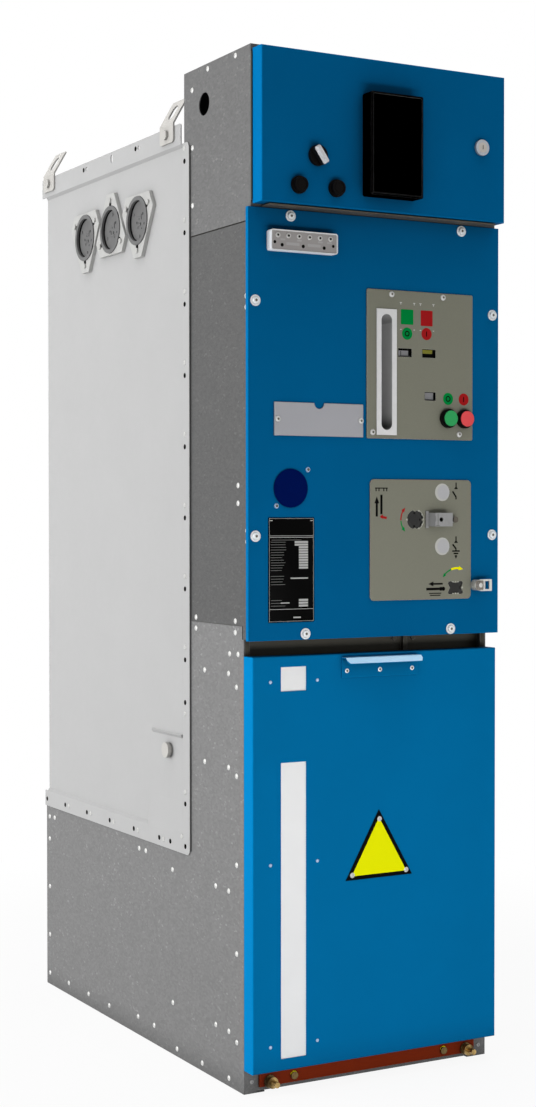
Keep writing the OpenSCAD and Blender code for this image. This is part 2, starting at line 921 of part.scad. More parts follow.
module side_latch() {
    latch_z = 861;
    color("#b4b4b2") {
        bar_y([205, latch_z], plate_y - 14, plate_t + 14, 9.5);
        bar_y([205, latch_z], plate_y - 18, 4, 6, 6);
        difference() {
            block(207, 232, plate_y - 14, plate_y - 11, latch_z - 10.5, latch_z + 10.5);
            block(217.5, 226.5, plate_y - 15, plate_y - 10, latch_z - 7.2, latch_z + 7.2);
        }
    }
}

/* Cable door */

low_door_z1 = gap_bottom - 2;
window_x = -170.5;
window_w = 50;

module cable_door() {
    color("#0069a5")
        difference() {
            tray(body_w, door_z, low_door_z1, low_door_face, low_door_d);
            front_sheet(low_door_face - 1, sheet + 2) {
                translate([window_x, 708]) square([window_w, 41.5], center = true);
                translate([window_x, 313.5]) square([window_w, 505], center = true);
            }
        }
}

module door_windows() {
    margin = 8;
    color("#e0e0e0") {
        front_sheet(low_door_face + sheet, 3)
            translate([window_x, 708]) square([window_w + 2 * margin, 41.5 + 2 * margin], center = true);
        front_sheet(low_door_face + sheet, 3)
            translate([window_x, 313.5]) square([window_w + 2 * margin, 505 + 2 * margin], center = true);
    }
}

// A bent strip: a foot on the door, a shelf, and a lip that slopes down at 45 degrees.
module lift_handle() {
    w = 155;
    x0 = 2 - w / 2;
    foot_z = 706;
    shelf_z = 741;
    shelf = 14.4;
    lip = 9.4;
    corner = 5;
    lip_t = sheet / sqrt(2);
    turn_in = sheet * tan(22.5);
    y0 = low_door_face;
    y1 = y0 - shelf;
    color("#0069a5")
        intersection() {
            translate([x0, front, 0])
                rotate([90, 0, 90])
                    linear_extrude(w)
                        polygon([[y0, foot_z], [y0, shelf_z], [y1, shelf_z], [y1 - lip, shelf_z - lip],
                                 [y1 - lip + lip_t, shelf_z - lip - lip_t], [y1 + turn_in, shelf_z - sheet],
                                 [y0 - sheet, shelf_z - sheet], [y0 - sheet, foot_z]]);
            translate([0, front + y0, foot_z - 1])
                linear_extrude(shelf_z - foot_z + 2)
                    polygon([[x0, 1], [x0 + w, 1], [x0 + w, -shelf - lip + corner],
                             [x0 + w - corner, -shelf - lip - 1], [x0 + corner, -shelf - lip - 1],
                             [x0, -shelf - lip + corner]]);
        }
}

base_side_left();
base_side_right();
base_back();
base_floor();
front_frame();
interlock_rail();
earth_bar();
earth_studs();
mid_side_left();
mid_side_right();
mid_floor();
tank_wrap();
tank_side_left();
tank_side_right();
gas_valve_cap();
lifting_lugs();
bus_flanges();
bus_plugs();
box_side_left();
box_side_right();
box_back();
box_roof();
box_floor();
box_hinge();
box_door();
relay();
door_controls();
selector_handle();
door_lock();
mid_panel();
voltage_indicator();
document_plate();
round_window();
mechanism_plate();
lever_slot();
position_flags();
button_collars();
open_button();
close_button();
switch_plate();
upper_drive();
lower_drive();
padlock_hasp();
side_latch();
cable_door();
door_windows();
lift_handle();
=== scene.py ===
"""Finishes, fasteners, printed plates and studio of a ring main unit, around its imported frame. Metres."""

import logging
import math
from dataclasses import dataclass
from enum import Enum
from typing import Any, Iterable, Optional, Sequence

import bmesh
import bpy
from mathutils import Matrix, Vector


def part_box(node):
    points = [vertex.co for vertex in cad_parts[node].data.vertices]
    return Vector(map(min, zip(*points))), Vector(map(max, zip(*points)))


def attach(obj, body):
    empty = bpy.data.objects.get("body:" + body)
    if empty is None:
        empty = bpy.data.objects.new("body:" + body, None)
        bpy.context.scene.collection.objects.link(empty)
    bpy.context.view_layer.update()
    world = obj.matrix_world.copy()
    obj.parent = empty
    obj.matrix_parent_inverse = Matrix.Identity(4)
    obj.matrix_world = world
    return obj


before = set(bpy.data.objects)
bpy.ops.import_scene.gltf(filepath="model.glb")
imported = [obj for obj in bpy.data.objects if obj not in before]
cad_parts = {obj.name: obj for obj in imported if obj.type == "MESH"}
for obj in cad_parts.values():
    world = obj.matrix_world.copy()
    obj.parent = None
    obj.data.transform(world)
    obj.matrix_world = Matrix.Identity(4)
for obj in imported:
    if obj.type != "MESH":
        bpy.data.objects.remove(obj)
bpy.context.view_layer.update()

MM = 0.001
LOG = logging.getLogger("ring_main_unit")

UP = Vector((0, 0, 1))

Point = tuple[float, float]
Box = tuple[float, float, float, float]


def linear(code: str) -> tuple[float, float, float, float]:
    """Turns a colour code into the linear colour that a shader socket takes.

    Args:
        code: six hexadecimal digits, red first.

    Returns:
        Red, green, blue and an alpha of one.
    """
    values = []
    for start in (0, 2, 4):
        share = int(code[start:start + 2], 16) / 255
        values.append(share / 12.92 if share <= 0.04045 else ((share + 0.055) / 1.055) ** 2.4)
    return (values[0], values[1], values[2], 1.0)


def toned(colour: Sequence[float], factor: float, more: float = 0.0) -> tuple[float, ...]:
    """Returns a colour made lighter or darker by a factor, with a little more added, at full alpha."""
    return tuple(min(1.0, share * factor + more) for share in colour[:3]) + (1.0,)


# ---- Node trees ----


class Bench:
    """Adds nodes to one tree, shader or geometry, always through one method."""

    def __init__(self, tree: bpy.types.NodeTree) -> None:
        """Starts on a tree, whose old nodes are cleared."""
        self.tree = tree
        self.tree.nodes.clear()

    def node(self, kind: str, settings: Optional[dict] = None, inputs: Optional[dict] = None) -> "Step":
        """Adds a node, sets it up and feeds its sockets.

        Args:
            kind: the node's type name.
            settings: properties set before the sockets are fed.
            inputs: socket name or identifier to a number, a colour, a vector or a Wire.

        Returns:
            The new node as a Step, whose outputs are taken by name.
        """
        made = self.tree.nodes.new(kind)
        for name, value in (settings or {}).items():
            setattr(made, name, value)
        for name, value in (inputs or {}).items():
            self.feed(self._socket(made.inputs, name), value)
        return Step(self, made)

    def feed(self, socket: bpy.types.NodeSocket, value: Any) -> None:
        """Links a Wire to a socket, or writes a value in it.

        Args:
            socket: the input to feed.
            value: a Wire, or what the socket's default value takes.
        """
        if isinstance(value, Wire):
            self.tree.links.new(value.socket, socket)
        else:
            socket.default_value = value

    @staticmethod
    def _socket(sockets: Any, name: str) -> bpy.types.NodeSocket:
        """Finds a socket by its identifier, or else by its name.

        Args:
            sockets: the inputs or outputs of a node.
            name: the identifier or name.

        Returns:
            The socket.
        """
        for label in ("identifier", "name"):
            for socket in sockets:
                if getattr(socket, label) == name and socket.enabled:
                    return socket
        raise KeyError(f"no socket {name!r} among {[s.identifier for s in sockets]}")


@dataclass(frozen=True)
class Step:
    """A node just added, from which outputs are taken."""

    bench: Bench
    node: bpy.types.Node

    def out(self, name: str) -> "Wire":
        """Returns the output of that identifier or name as a Wire."""
        return Wire(self.bench, Bench._socket(self.node.outputs, name))


@dataclass(frozen=True)
class Wire:
    """An output socket that sums are written on: each operator adds its Math or Vector Math node."""

    bench: Bench
    socket: bpy.types.NodeSocket

    def _sum(self, operation: str, first: Any, second: Any) -> "Wire":
        """Adds the node of one operation.

        Args:
            operation: the name that the Math and Vector Math nodes share.
            first: the first operand.
            second: the second operand.

        Returns:
            The node's result.
        """
        kind, label = ("VectorMath", "Vector") if self.socket.type == "VECTOR" else ("Math", "Value")
        values = {label: first, f"{label}_001": second}
        return self.bench.node(f"ShaderNode{kind}", {"operation": operation}, values).out(label)

    def __add__(self, other: Any) -> "Wire":
        """Returns self + other."""
        return self._sum("ADD", self, other)

    def __radd__(self, other: Any) -> "Wire":
        """Returns other + self."""
        return self._sum("ADD", other, self)

    def __sub__(self, other: Any) -> "Wire":
        """Returns self - other."""
        return self._sum("SUBTRACT", self, other)

    def __rsub__(self, other: Any) -> "Wire":
        """Returns other - self."""
        return self._sum("SUBTRACT", other, self)

    def __mul__(self, other: Any) -> "Wire":
        """Returns self * other."""
        return self._sum("MULTIPLY", self, other)

    def between(self, low: float, high: float) -> "Wire":
        """Returns how far self has come from low to high, eased and kept from 0 to 1."""
        made = self.bench.node("ShaderNodeMapRange", {"interpolation_type": "SMOOTHSTEP"},
                               {"Value": self, "From Min": low, "From Max": high})
        return made.out("Result")

    def dot(self, other: "Wire") -> "Wire":
        """Returns the dot product of two vectors."""
        made = self.bench.node("ShaderNodeVectorMath", {"operation": "DOT_PRODUCT"},
                               {"Vector": self, "Vector_001": other})
        return made.out("Value")


class ShaderBench(Bench):
    """A material's tree, with the few patterns that every finish is made of."""

    def __init__(self, name: str) -> None:
        """Makes a new material.

        Args:
            name: the material's name.
        """
        self.material = bpy.data.materials.new(name)
        self.material.use_nodes = True
        super().__init__(self.material.node_tree)
        self.place = self.node("ShaderNodeTexCoord").out("Object")

    def noise(self, size_mm: float, detail: float = 2.0, stretch: Sequence[float] = (1, 1, 1)) -> Wire:
        """Adds cloudy noise.

        Args:
            size_mm: size of a cloud, in millimetres.
            detail: how many finer layers it has.
            stretch: how much longer the clouds are along each axis.

        Returns:
            Values about 0.5.
        """
        scale = tuple(1 / (size_mm * MM * along) for along in stretch)
        place = self.node("ShaderNodeMapping", None, {"Vector": self.place, "Scale": scale}).out("Vector")
        made = self.node("ShaderNodeTexNoise", None, {"Vector": place, "Scale": 1.0, "Detail": detail})
        return made.out("Fac")

    def crystals(self, size_mm: float, rolled: float = 1.0) -> Step:
        """Adds cells of one colour each, such as zinc crystals.

        Args:
            size_mm: a cell's height, in millimetres.
            rolled: how much longer it is in the object's depth.

        Returns:
            The cells' node.
        """
        scale = tuple(1 / (size_mm * MM * along) for along in (1.0, rolled, 1.0))
        place = self.node("ShaderNodeMapping", None, {"Vector": self.place, "Scale": scale}).out("Vector")
        return self.node("ShaderNodeTexVoronoi", None, {"Vector": place, "Scale": 1.0})

    def mix(self, factor: Any, first: Any, second: Any) -> Wire:
        """Returns two colours mixed: the first at a factor of 0, the second at 1."""
        values = {"Factor_Float": factor, "A_Color": first, "B_Color": second}
        return self.node("ShaderNodeMix", {"data_type": "RGBA"}, values).out("Result_Color")

    def shaded(self, colour: Sequence[float], amount: Wire, depth: float) -> Wire:
        """Returns a colour darkened and lightened by a share, where the amount is below and above 0.5."""
        return self.mix(amount, toned(colour, 1 - depth), toned(colour, 1 + depth))

    def uneven(self, roughness: float, size_mm: float, share: float, detail: float = 2.0) -> Wire:
        """Returns a roughness that changes by a share, in clouds of a size in millimetres."""
        return roughness + (self.noise(size_mm, detail) - 0.5) * share

    def soft_edges(self, radius_mm: float) -> Wire:
        """Returns the normal with sharp edges rounded to a radius in millimetres."""
        return self.node("ShaderNodeBevel", {"samples": 4}, {"Radius": radius_mm * MM}).out("Normal")

    def edges(self, rounded: Wire) -> Wire:
        """Returns 1 on sharp edges, fading to 0 on flats, from the rounded normal."""
        flat = self.node("ShaderNodeNewGeometry").out("Normal")
        return (1 - rounded.dot(flat)).between(0.01, 0.25)

    def corner_shade(self, reach_mm: float) -> Wire:
        """Returns the share of painted shade: 0 on open surfaces, rising towards 1 in corners, within a
        reach in millimetres.
        """
        reach = {"Distance": reach_mm * MM}
        return 1 - self.node("ShaderNodeAmbientOcclusion", {"samples": 6}, reach).out("AO")

    def along(self, vector: Wire, axis: str) -> Wire:
        """Returns a vector's part along X, Y or Z."""
        return self.node("ShaderNodeSeparateXYZ", None, {"Vector": vector}).out(axis)

    def facing(self, axis: str) -> Wire:
        """Returns how far a surface faces along an axis: 1 for straight along it, -1 for against it."""
        return self.along(self.node("ShaderNodeNewGeometry").out("Normal"), axis)

    def bump(self, height: Wire, depth_mm: float, normal: Optional[Wire] = None,
             strength: float = 1.0) -> Wire:
        """Adds relief.

        Args:
            height: values from 0 to 1.
            depth_mm: the depth that 1 stands for.
            normal: the normal that it starts from.
            strength: share of the relief that shows.

        Returns:
            The normal.
        """
        inputs = {"Height": height, "Distance": depth_mm * MM, "Strength": strength}
        if normal is not None:
            inputs["Normal"] = normal
        return self.node("ShaderNodeBump", None, inputs).out("Normal")

    def surface(self, inputs: dict) -> bpy.types.Material:
        """Ends the tree in a Principled surface.

        Args:
            inputs: the surface's sockets and their values.

        Returns:
            The material.
        """
        shader = self.node("ShaderNodeBsdfPrincipled", None, inputs).out("BSDF")
        self.node("ShaderNodeOutputMaterial", None, {"Surface": shader})
        return self.material


# ---- Finishes ----


@dataclass(frozen=True)
class Finish:
    """A surface finish: its name, its plain colour and its roughness."""

    name: str
    colour: str
    roughness: float = 0.5

    def material(self) -> bpy.types.Material:
        """Returns the finish's material, made the first time it is asked for."""
        return bpy.data.materials.get(self.name) or self.mix_up(ShaderBench(self.name))

    def mix_up(self, bench: ShaderBench) -> bpy.types.Material:
        """Builds the material's tree; each kind of finish has its own.

        Args:
            bench: a new tree.

        Returns:
            The finished material.
        """
        raise NotImplementedError


# The dark colour that painted shade is mixed towards.
PAINTED_SHADE = (0.004, 0.004, 0.004, 1.0)


@dataclass(frozen=True)
class PowderCoat(Finish):
    """Satin powder coat: fine orange peel, slow changes of tone, painted highlights on edges and left-facing
    sides, painted shade in corners and, where given, a painted highlight on upward faces.
    """

    peel_mm: float = 1.6
    peel_depth_mm: float = 0.012
    edge_highlight_tone: float = 2.0
    left_light_tone: float = 1.3
    gloss: float = 0.0
    upper: str = ""
    reach_mm: float = 85.0
    corner_shade_share: float = 0.85

    def mix_up(self, bench: ShaderBench) -> bpy.types.Material:
        """Builds the coat.

        Args:
            bench: a new tree.

        Returns:
            The finished material.
        """
        colour = linear(self.colour)
        rounded = bench.soft_edges(1.6)
        clouds = bench.noise(160, 3)
        peel = bench.noise(self.peel_mm, 2)
        tone = bench.shaded(colour, clouds, 0.07)
        # Painted highlight: edges lighter.
        tone = bench.mix(bench.edges(rounded) * 0.7, tone, toned(colour, self.edge_highlight_tone))
        # Painted shade: darker in corners and round raised parts.
        tone = bench.mix(bench.corner_shade(self.reach_mm) * self.corner_shade_share, tone, PAINTED_SHADE)
        # Painted light: faces turned to the left lighter.
        leftward = 0.0 - bench.facing("X")
        tone = bench.mix(leftward.between(0.5, 0.9), tone, toned(colour, self.left_light_tone))
        coat = 0.0
        # Painted highlight: where an upper colour is given, upward faces take it, under a clear coat.
        if self.upper:
            above = bench.facing("Z").between(0.15, 0.6)
            tone = bench.mix(above, tone, linear(self.upper))
            coat = above * self.gloss
        return bench.surface({
            "Base Color": tone,
            "Roughness": bench.uneven(self.roughness, 9, 0.12),
            "Normal": bench.bump(peel, self.peel_depth_mm, rounded),
            "Specular IOR Level": 0.01,
            "Coat Weight": coat,
            "Coat IOR": 1.8,
            "Coat Roughness": 0.3,
        })


@dataclass(frozen=True)
class Galvanised(Finish):
    """Hot-dipped sheet: crystals of differing tone, a finer crystal within, faint roll marks."""

    crystal_mm: float = 3.6
    contrast: float = 0.24
    flake_tone: float = 1.7
    metal: float = 0.2
    rolled: float = 1.8

    def mix_up(self, bench: ShaderBench) -> bpy.types.Material:
        """Builds the zinc.

        Args:
            bench: a new tree.

        Returns:
            The finished material.
        """
        colour = linear(self.colour)
        big = bench.crystals(self.crystal_mm, self.rolled)
        fine = bench.crystals(self.crystal_mm * 0.36, self.rolled)
        tone_big = bench.node("ShaderNodeSeparateColor", None, {"Color": big.out("Color")}).out("Red")
        tone_fine = bench.node("ShaderNodeSeparateColor", None, {"Color": fine.out("Color")}).out("Green")
        clouds = bench.noise(45, 3)
        tone = tone_big * 0.5 + tone_fine * 0.3 + clouds * 0.2
        flakes = tone_big.between(0.93, 0.98) * clouds.between(0.4, 0.65) * 0.6
        shade = bench.mix(flakes, bench.shaded(colour, tone, self.contrast), toned(colour, self.flake_tone))
        # Painted shade: darker in corners.
        shade = bench.mix(bench.corner_shade(45.0) * 0.75, shade, PAINTED_SHADE)
        rounded = bench.soft_edges(1.0)
        return bench.surface({
            "Base Color": shade,
            "Metallic": self.metal,
            "Roughness": self.roughness + (tone_fine - 0.5) * 0.2,
            "Normal": bench.bump(tone_big * 0.6 + tone_fine * 0.4, 0.012, rounded, 0.6),
            "Specular IOR Level": 0.3,
        })


@dataclass(frozen=True)
class SatinPaint(Finish):
    """Smooth sprayed paint on sheet, with faint waves of the sheet under it."""

    wave_mm: float = 220.0
    # Share of painted shade on faces that look down.
    under: float = 0.35

    def mix_up(self, bench: ShaderBench) -> bpy.types.Material:
        """Builds the paint, with painted shade where it looks down and in corners, and a painted highlight
        on edges.

        Args:
            bench: a new tree.

        Returns:
            The finished material.
        """
        rounded = bench.soft_edges(1.4)
        waves = bench.noise(self.wave_mm, 1)
        grain = bench.noise(0.9, 2)
        tone = bench.shaded(linear(self.colour), bench.noise(90, 4), 0.03)
        # Painted highlight: edges paler.
        tone = bench.mix(bench.edges(rounded) * 0.25, tone, (0.8, 0.8, 0.79, 1))
        # Painted shade: faces that look down darker.
        below = (0 - bench.facing("Z")).between(0.2, 0.8) * self.under
        # Painted shade: darker in corners.
        tone = bench.mix(bench.corner_shade(25.0) * 0.5, tone, PAINTED_SHADE)
        return bench.surface({
            "Base Color": bench.mix(below, tone, (0.06, 0.06, 0.06, 1)),
            "Roughness": bench.uneven(self.roughness, 14, 0.15, 3),
            "Normal": bench.bump(waves * 0.97 + grain * 0.03, 0.35, rounded),
            "Specular IOR Level": 0.2,
        })


@dataclass(frozen=True)
class Moulding(Finish):
    """Moulded plastic with a fine spark-eroded grain."""

    grain_mm: float = 0.5
    grain_depth_mm: float = 0.015
    edge_mm: float = 0.8
    shine: float = 0.25
    edge_highlight_lift: float = 0.02

    def mould(self, bench: ShaderBench, tone: Wire, normal: Optional[Wire] = None) -> bpy.types.Material:
        """Returns the plastic in a tone, with its grain and shine.

        Args:
            bench: the tree.
            tone: the colour that it has everywhere.
            normal: the normal that the grain starts from.

        Returns:
            The finished material.
        """
        return bench.surface({
            "Base Color": tone,
            "Roughness": bench.uneven(self.roughness, 5, 0.14),
            "Normal": bench.bump(bench.noise(self.grain_mm, 2), self.grain_depth_mm, normal),
            "Specular IOR Level": self.shine,
        })

    def mix_up(self, bench: ShaderBench) -> bpy.types.Material:
        """Builds the plastic, with a painted highlight on its edges.

        Args:
            bench: a new tree.

        Returns:
            The finished material.
        """
        rounded = bench.soft_edges(self.edge_mm)
        tone = bench.shaded(linear(self.colour), bench.noise(12, 3), 0.06)
        # Painted highlight: edges lighter.
        edge_highlight = toned(linear(self.colour), 1.5, self.edge_highlight_lift)
        return self.mould(bench, bench.mix(bench.edges(rounded) * 0.4, tone, edge_highlight), rounded)


@dataclass(frozen=True)
class TwoTone(Moulding):
    """Plastic with a paler front over a darker body, split at a depth from the node's front."""

    dark_body: str = "121214"
    node: str = "selector_handle"
    front_mm: float = 6.3
    blend_mm: float = 0.3

    def mix_up(self, bench: ShaderBench) -> bpy.types.Material:
        """Builds the plastic, split by the distance from the node's front.

        Args:
            bench: a new tree.

        Returns:
            The finished material.
        """
        depth = bench.along(bench.place, "Y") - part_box(self.node)[0].y
        behind = depth.between((self.front_mm - self.blend_mm) * MM, (self.front_mm + self.blend_mm) * MM)
        pale = bench.shaded(linear(self.colour), bench.noise(6, 3), 0.04)
        tone = bench.mix(behind, pale, linear(self.dark_body))
        return self.mould(bench, tone, bench.soft_edges(self.edge_mm))


@dataclass(frozen=True)
class ShadedSleeve(Moulding):
    """Plastic lining of a slot, with painted shade at both ends."""

    node: str = "lever_slot"

    def mix_up(self, bench: ShaderBench) -> bpy.types.Material:
        """Builds the lining, with painted shade by the distance from the node's top and foot.

        Args:
            bench: a new tree.

        Returns:
            The finished material.
        """
        low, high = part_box(self.node)
        height = bench.along(bench.place, "Z")
        above = height.between(high.z - 25 * MM, high.z - 23 * MM) * 0.35
        below = (low.z + 46 * MM - height).between(0.0, 34 * MM) * 0.7
        tone = bench.shaded(linear(self.colour), bench.noise(12, 3), 0.06)
        return self.mould(bench, bench.mix((above + below).between(0.0, 1.0), tone, PAINTED_SHADE))


@dataclass(frozen=True)
class PlatedMetal(Finish):
    """Bright plated or bare metal, finely brushed, with cloudy tarnish."""

    tarnish: str = "8a8a86"
    tarnish_share: float = 0.35
    metal: float = 0.9

    def mix_up(self, bench: ShaderBench) -> bpy.types.Material:
        """Builds the metal.

        Args:
            bench: a new tree.

        Returns:
            The finished material.
        """
        rounded = bench.soft_edges(0.5)
        strokes = bench.noise(0.6, 3, (1, 1, 9))
        clouds = bench.noise(7, 4)
        dull = clouds.between(0.45, 0.75) * self.tarnish_share
        tone = bench.mix(dull, bench.shaded(linear(self.colour), strokes, 0.1), linear(self.tarnish))
        # Painted shade: darker in corners.
        tone = bench.mix(bench.corner_shade(12.0) * 0.6, tone, PAINTED_SHADE)
        return bench.surface({
            "Base Color": tone,
            "Metallic": self.metal,
            "Roughness": self.roughness + dull * 0.4 + (strokes - 0.5) * 0.15,
            "Normal": bench.bump(strokes, 0.006, rounded),
        })


@dataclass(frozen=True)
class StudBrass(PlatedMetal):
    """Brass studs on a bar: bright at the tip, with painted shade toward the bar and round the nuts."""

    node: str = "earth_studs"
    tip_mm: float = 11.5
    bolt_mm: float = 8.8
    studs_beyond: float = 0.2

    def mix_up(self, bench: ShaderBench) -> bpy.types.Material:
        """Builds the brass.

        Args:
            bench: a new tree.

        Returns:
            The finished material.
        """
        low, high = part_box(self.node)
        depth, across = bench.along(bench.place, "Y"), bench.along(bench.place, "X")
        strokes = bench.noise(0.6, 3, (1, 1, 9))
        dull = bench.noise(5, 3).between(0.4, 0.7) * 0.4
        stud = (across * across).between(self.studs_beyond ** 2, (self.studs_beyond + 0.01) ** 2)
        nuts = depth.between(low.y + self.tip_mm * MM, low.y + (self.tip_mm + 3.0) * MM)
        bolts = depth.between(high.y - self.bolt_mm * MM, high.y - (self.bolt_mm - 0.4) * MM)
        tone = bench.mix(dull, bench.shaded(linear(self.colour), strokes, 0.12), linear(self.tarnish))
        # Painted shade in the tarnish colour: dark round the studs' nuts, and on the small bolts, darkest
        # toward the bar.
        tone = bench.mix(stud * nuts * 0.85, tone, linear(self.tarnish))
        tone = bench.mix((1 - stud) * bolts * 0.5 + (1 - stud) * 0.3, tone, linear(self.tarnish))
        rounded = bench.soft_edges(0.5)
        return bench.surface({
            "Base Color": tone,
            "Metallic": self.metal,
            "Roughness": self.roughness + dull * 0.4,
            "Normal": bench.bump(strokes, 0.006, rounded),
        })


@dataclass(frozen=True)
class PrintedPlate(Finish):
    """Printed aluminium plate: matt lacquer with a fine tooth, and bare metal at the cut edge."""

    edge: str = "d8d8d0"

    def mix_up(self, bench: ShaderBench) -> bpy.types.Material:
        """Builds the plate.

        Args:
            bench: a new tree.

        Returns:
            The finished material.
        """
        rounded = bench.soft_edges(0.8)
        tooth = bench.noise(0.35, 2)
        tone = bench.shaded(linear(self.colour), bench.noise(1.8, 3), 0.07)
        # Painted shade: darker in corners.
        tone = bench.mix(bench.corner_shade(30.0) * 0.6, tone, PAINTED_SHADE)
        tone = bench.mix(bench.edges(rounded), tone, linear(self.edge))
        return bench.surface({
            "Base Color": tone,
            "Roughness": bench.uneven(self.roughness, 20, 0.14, 3),
            "Normal": bench.bump(tooth, 0.012, rounded),
            "Specular IOR Level": 0.2,
        })


@dataclass(frozen=True)
class Ink(Finish):
    """Screen-printed ink, a little uneven where it took the plate's tooth."""

    def mix_up(self, bench: ShaderBench) -> bpy.types.Material:
        """Builds the ink.

        Args:
            bench: a new tree.

        Returns:
            The finished material.
        """
        speckle = bench.noise(0.4, 3)
        return bench.surface({
            "Base Color": bench.shaded(linear(self.colour), speckle, 0.12),
            "Roughness": self.roughness + (speckle - 0.5) * 0.2,
            "Normal": bench.bump(speckle, 0.01),
            "Specular IOR Level": 0.02,
        })


@dataclass(frozen=True)
class Opal(Finish):
    """Milky acrylic sheet: a smooth skin over a soft white body."""

    def mix_up(self, bench: ShaderBench) -> bpy.types.Material:
        """Builds the acrylic.

        Args:
            bench: a new tree.

        Returns:
            The finished material.
        """
        rounded = bench.soft_edges(0.6)
        clouds = bench.noise(60, 3)
        return bench.surface({
            "Base Color": bench.shaded(linear(self.colour), clouds, 0.03),
            "Roughness": self.roughness + (clouds - 0.5) * 0.1,
            "Normal": bench.bump(bench.noise(30, 1), 0.05, rounded),
            "Subsurface Weight": 0.15,
            "Subsurface Radius": (0.004, 0.004, 0.004),
        })


@dataclass(frozen=True)
class BarPaint(Finish):
    """Red-brown paint on a copper bar, with bare copper showing at the arrises."""

    copper: str = "b4643a"

    def mix_up(self, bench: ShaderBench) -> bpy.types.Material:
        """Builds the painted copper.

        Args:
            bench: a new tree.

        Returns:
            The finished material.
        """
        rounded = bench.soft_edges(0.8)
        strokes = bench.noise(1.2, 3, (14, 1, 1))
        worn = bench.edges(rounded) * bench.noise(5, 4).between(0.35, 0.6)
        tone = bench.shaded(linear(self.colour), strokes, 0.22)
        # Painted shade: darker in corners.
        tone = bench.mix(bench.corner_shade(30.0), tone, PAINTED_SHADE)
        return bench.surface({
            "Base Color": bench.mix(worn, tone, linear(self.copper)),
            "Metallic": worn * 0.8,
            "Roughness": self.roughness + (strokes - 0.5) * 0.25,
            "Normal": bench.bump(strokes, 0.02, rounded),
            "Specular IOR Level": 0.05,
        })


# ---- Places and shapes ----


class Side(Enum):
    """Side of a box: its outward direction and the direction that widths run in."""

    FRONT = ((0, -1, 0), (1, 0, 0))
    LEFT = ((-1, 0, 0), (0, 1, 0))
    RIGHT = ((1, 0, 0), (0, 1, 0))


@dataclass(frozen=True)
class Face:
    """One side of a CAD node's box, measured in millimetres.

    Widths count from the middle on the front, and from the front edge on the sides. Heights count from
    the lower edge.
    """

    REACH_MM = 20.0

    node: str
    origin: Vector
    along: Vector
    out: Vector

    @classmethod
    def of(cls, node: str, side: Side) -> "Face":
        """Finds a face.

        Args:
            node: the CAD node.
            side: which side of its box.

        Returns:
            The face.
        """
        low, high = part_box(node)
        out, along = (Vector(direction) for direction in side.value)
        middle = (low + high) / 2
        origin = Vector((middle.x, low.y, low.z))
        if side is not Side.FRONT:
            origin.x = low.x if side is Side.LEFT else high.x
        return cls(node, origin, along, out)

    def at(self, across: float, height: float, lift: float = 0.0) -> Vector:
        """Returns the point at a width, a height and a lift off the face, all in millimetres."""
        return self.origin + MM * (across * self.along + height * UP + lift * self.out)

    def seat(self, across: float, height: float) -> Vector:
        """Returns the point where a line going straight in at a width and height meets the node itself.

        Args:
            across: the width, in millimetres.
            height: the height, in millimetres.

        Returns:
            The point, or the one on the face itself where the line misses.
        """
        start = self.at(across, height, self.REACH_MM)
        hit, place, _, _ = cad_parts[self.node].ray_cast(start, -self.out)
        return place if hit else self.at(across, height)

    def set_back(self, depth: float) -> "Face":
        """Returns the same face, moved inwards by a depth in millimetres."""
        return Face(self.node, self.origin - MM * depth * self.out, self.along, self.out)


def front(node: str) -> Face:
    """Returns the front face of a node."""
    return Face.of(node, Side.FRONT)


def both_sides(node: str) -> tuple[Face, Face]:
    """Returns the outer faces of a mirrored pair, named by the node without its _left or _right."""
    return Face.of(node + "_left", Side.LEFT), Face.of(node + "_right", Side.RIGHT)


def front_centre(node: str) -> Point:
    """Returns the middle of a node as seen from the front, in millimetres from the frame's origin."""
    middle = sum(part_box(node), Vector()) / 2 / MM
    return middle.x, middle.z


def spread(points: Sequence[Point], *faces: Face) -> list[tuple[Face, Point]]:
    """Returns every point on every face, face by face."""
    return [(face, point) for face in faces for point in points]


def row(first: Point, step: Point, count: int) -> list[Point]:
    """Returns points in a straight row, by the first, the step and how many."""
    return [(first[0] + i * step[0], first[1] + i * step[1]) for i in range(count)]


def add_piece(name: str, mesh: bpy.types.Mesh, body: str = "cubicle") -> bpy.types.Object:
    """Adds a finished mesh to the object.

    Args:
        name: the piece's name.
        mesh: its mesh, already in place.
        body: the CAD body that it rides on.

    Returns:
        The new object.
    """
    piece = bpy.data.objects.new(name, mesh)
    bpy.context.scene.collection.objects.link(piece)
    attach(piece, body)
    LOG.info("%s: %d faces on %s", name, len(mesh.polygons), body)
    return piece


def closed_mesh(name: str, shape: bmesh.types.BMesh, smooth_below: float = 40.0) -> bpy.types.Mesh:
    """Turns a shape into a mesh whose faces point outwards, with sharp edges kept sharp.

    Args:
        name: the mesh's name.
        shape: the shape; it is freed.
        smooth_below: edges flatter than this many degrees are smooth.

    Returns:
        The mesh.
    """
    bmesh.ops.recalc_face_normals(shape, faces=shape.faces)
    mesh = bpy.data.meshes.new(name)
    shape.to_mesh(mesh)
    shape.free()
    mesh.polygons.foreach_set("use_smooth", [True] * len(mesh.polygons))
    mesh.set_sharp_from_angle(angle=math.radians(smooth_below))
    return mesh


def add_shape(name: str, shape: bmesh.types.BMesh, finish: Finish,
              body: str = "cubicle") -> bpy.types.Object:
    """Adds a finished shape to the object in one finish.

    Args:
        name: the piece's name.
        shape: its shape, already in place; it is freed.
        finish: its finish.
        body: the CAD body that it rides on.

    Returns:
        The new piece.
    """
    mesh = closed_mesh(name, shape)
    mesh.materials.append(finish.material())
    return add_piece(name, mesh, body)


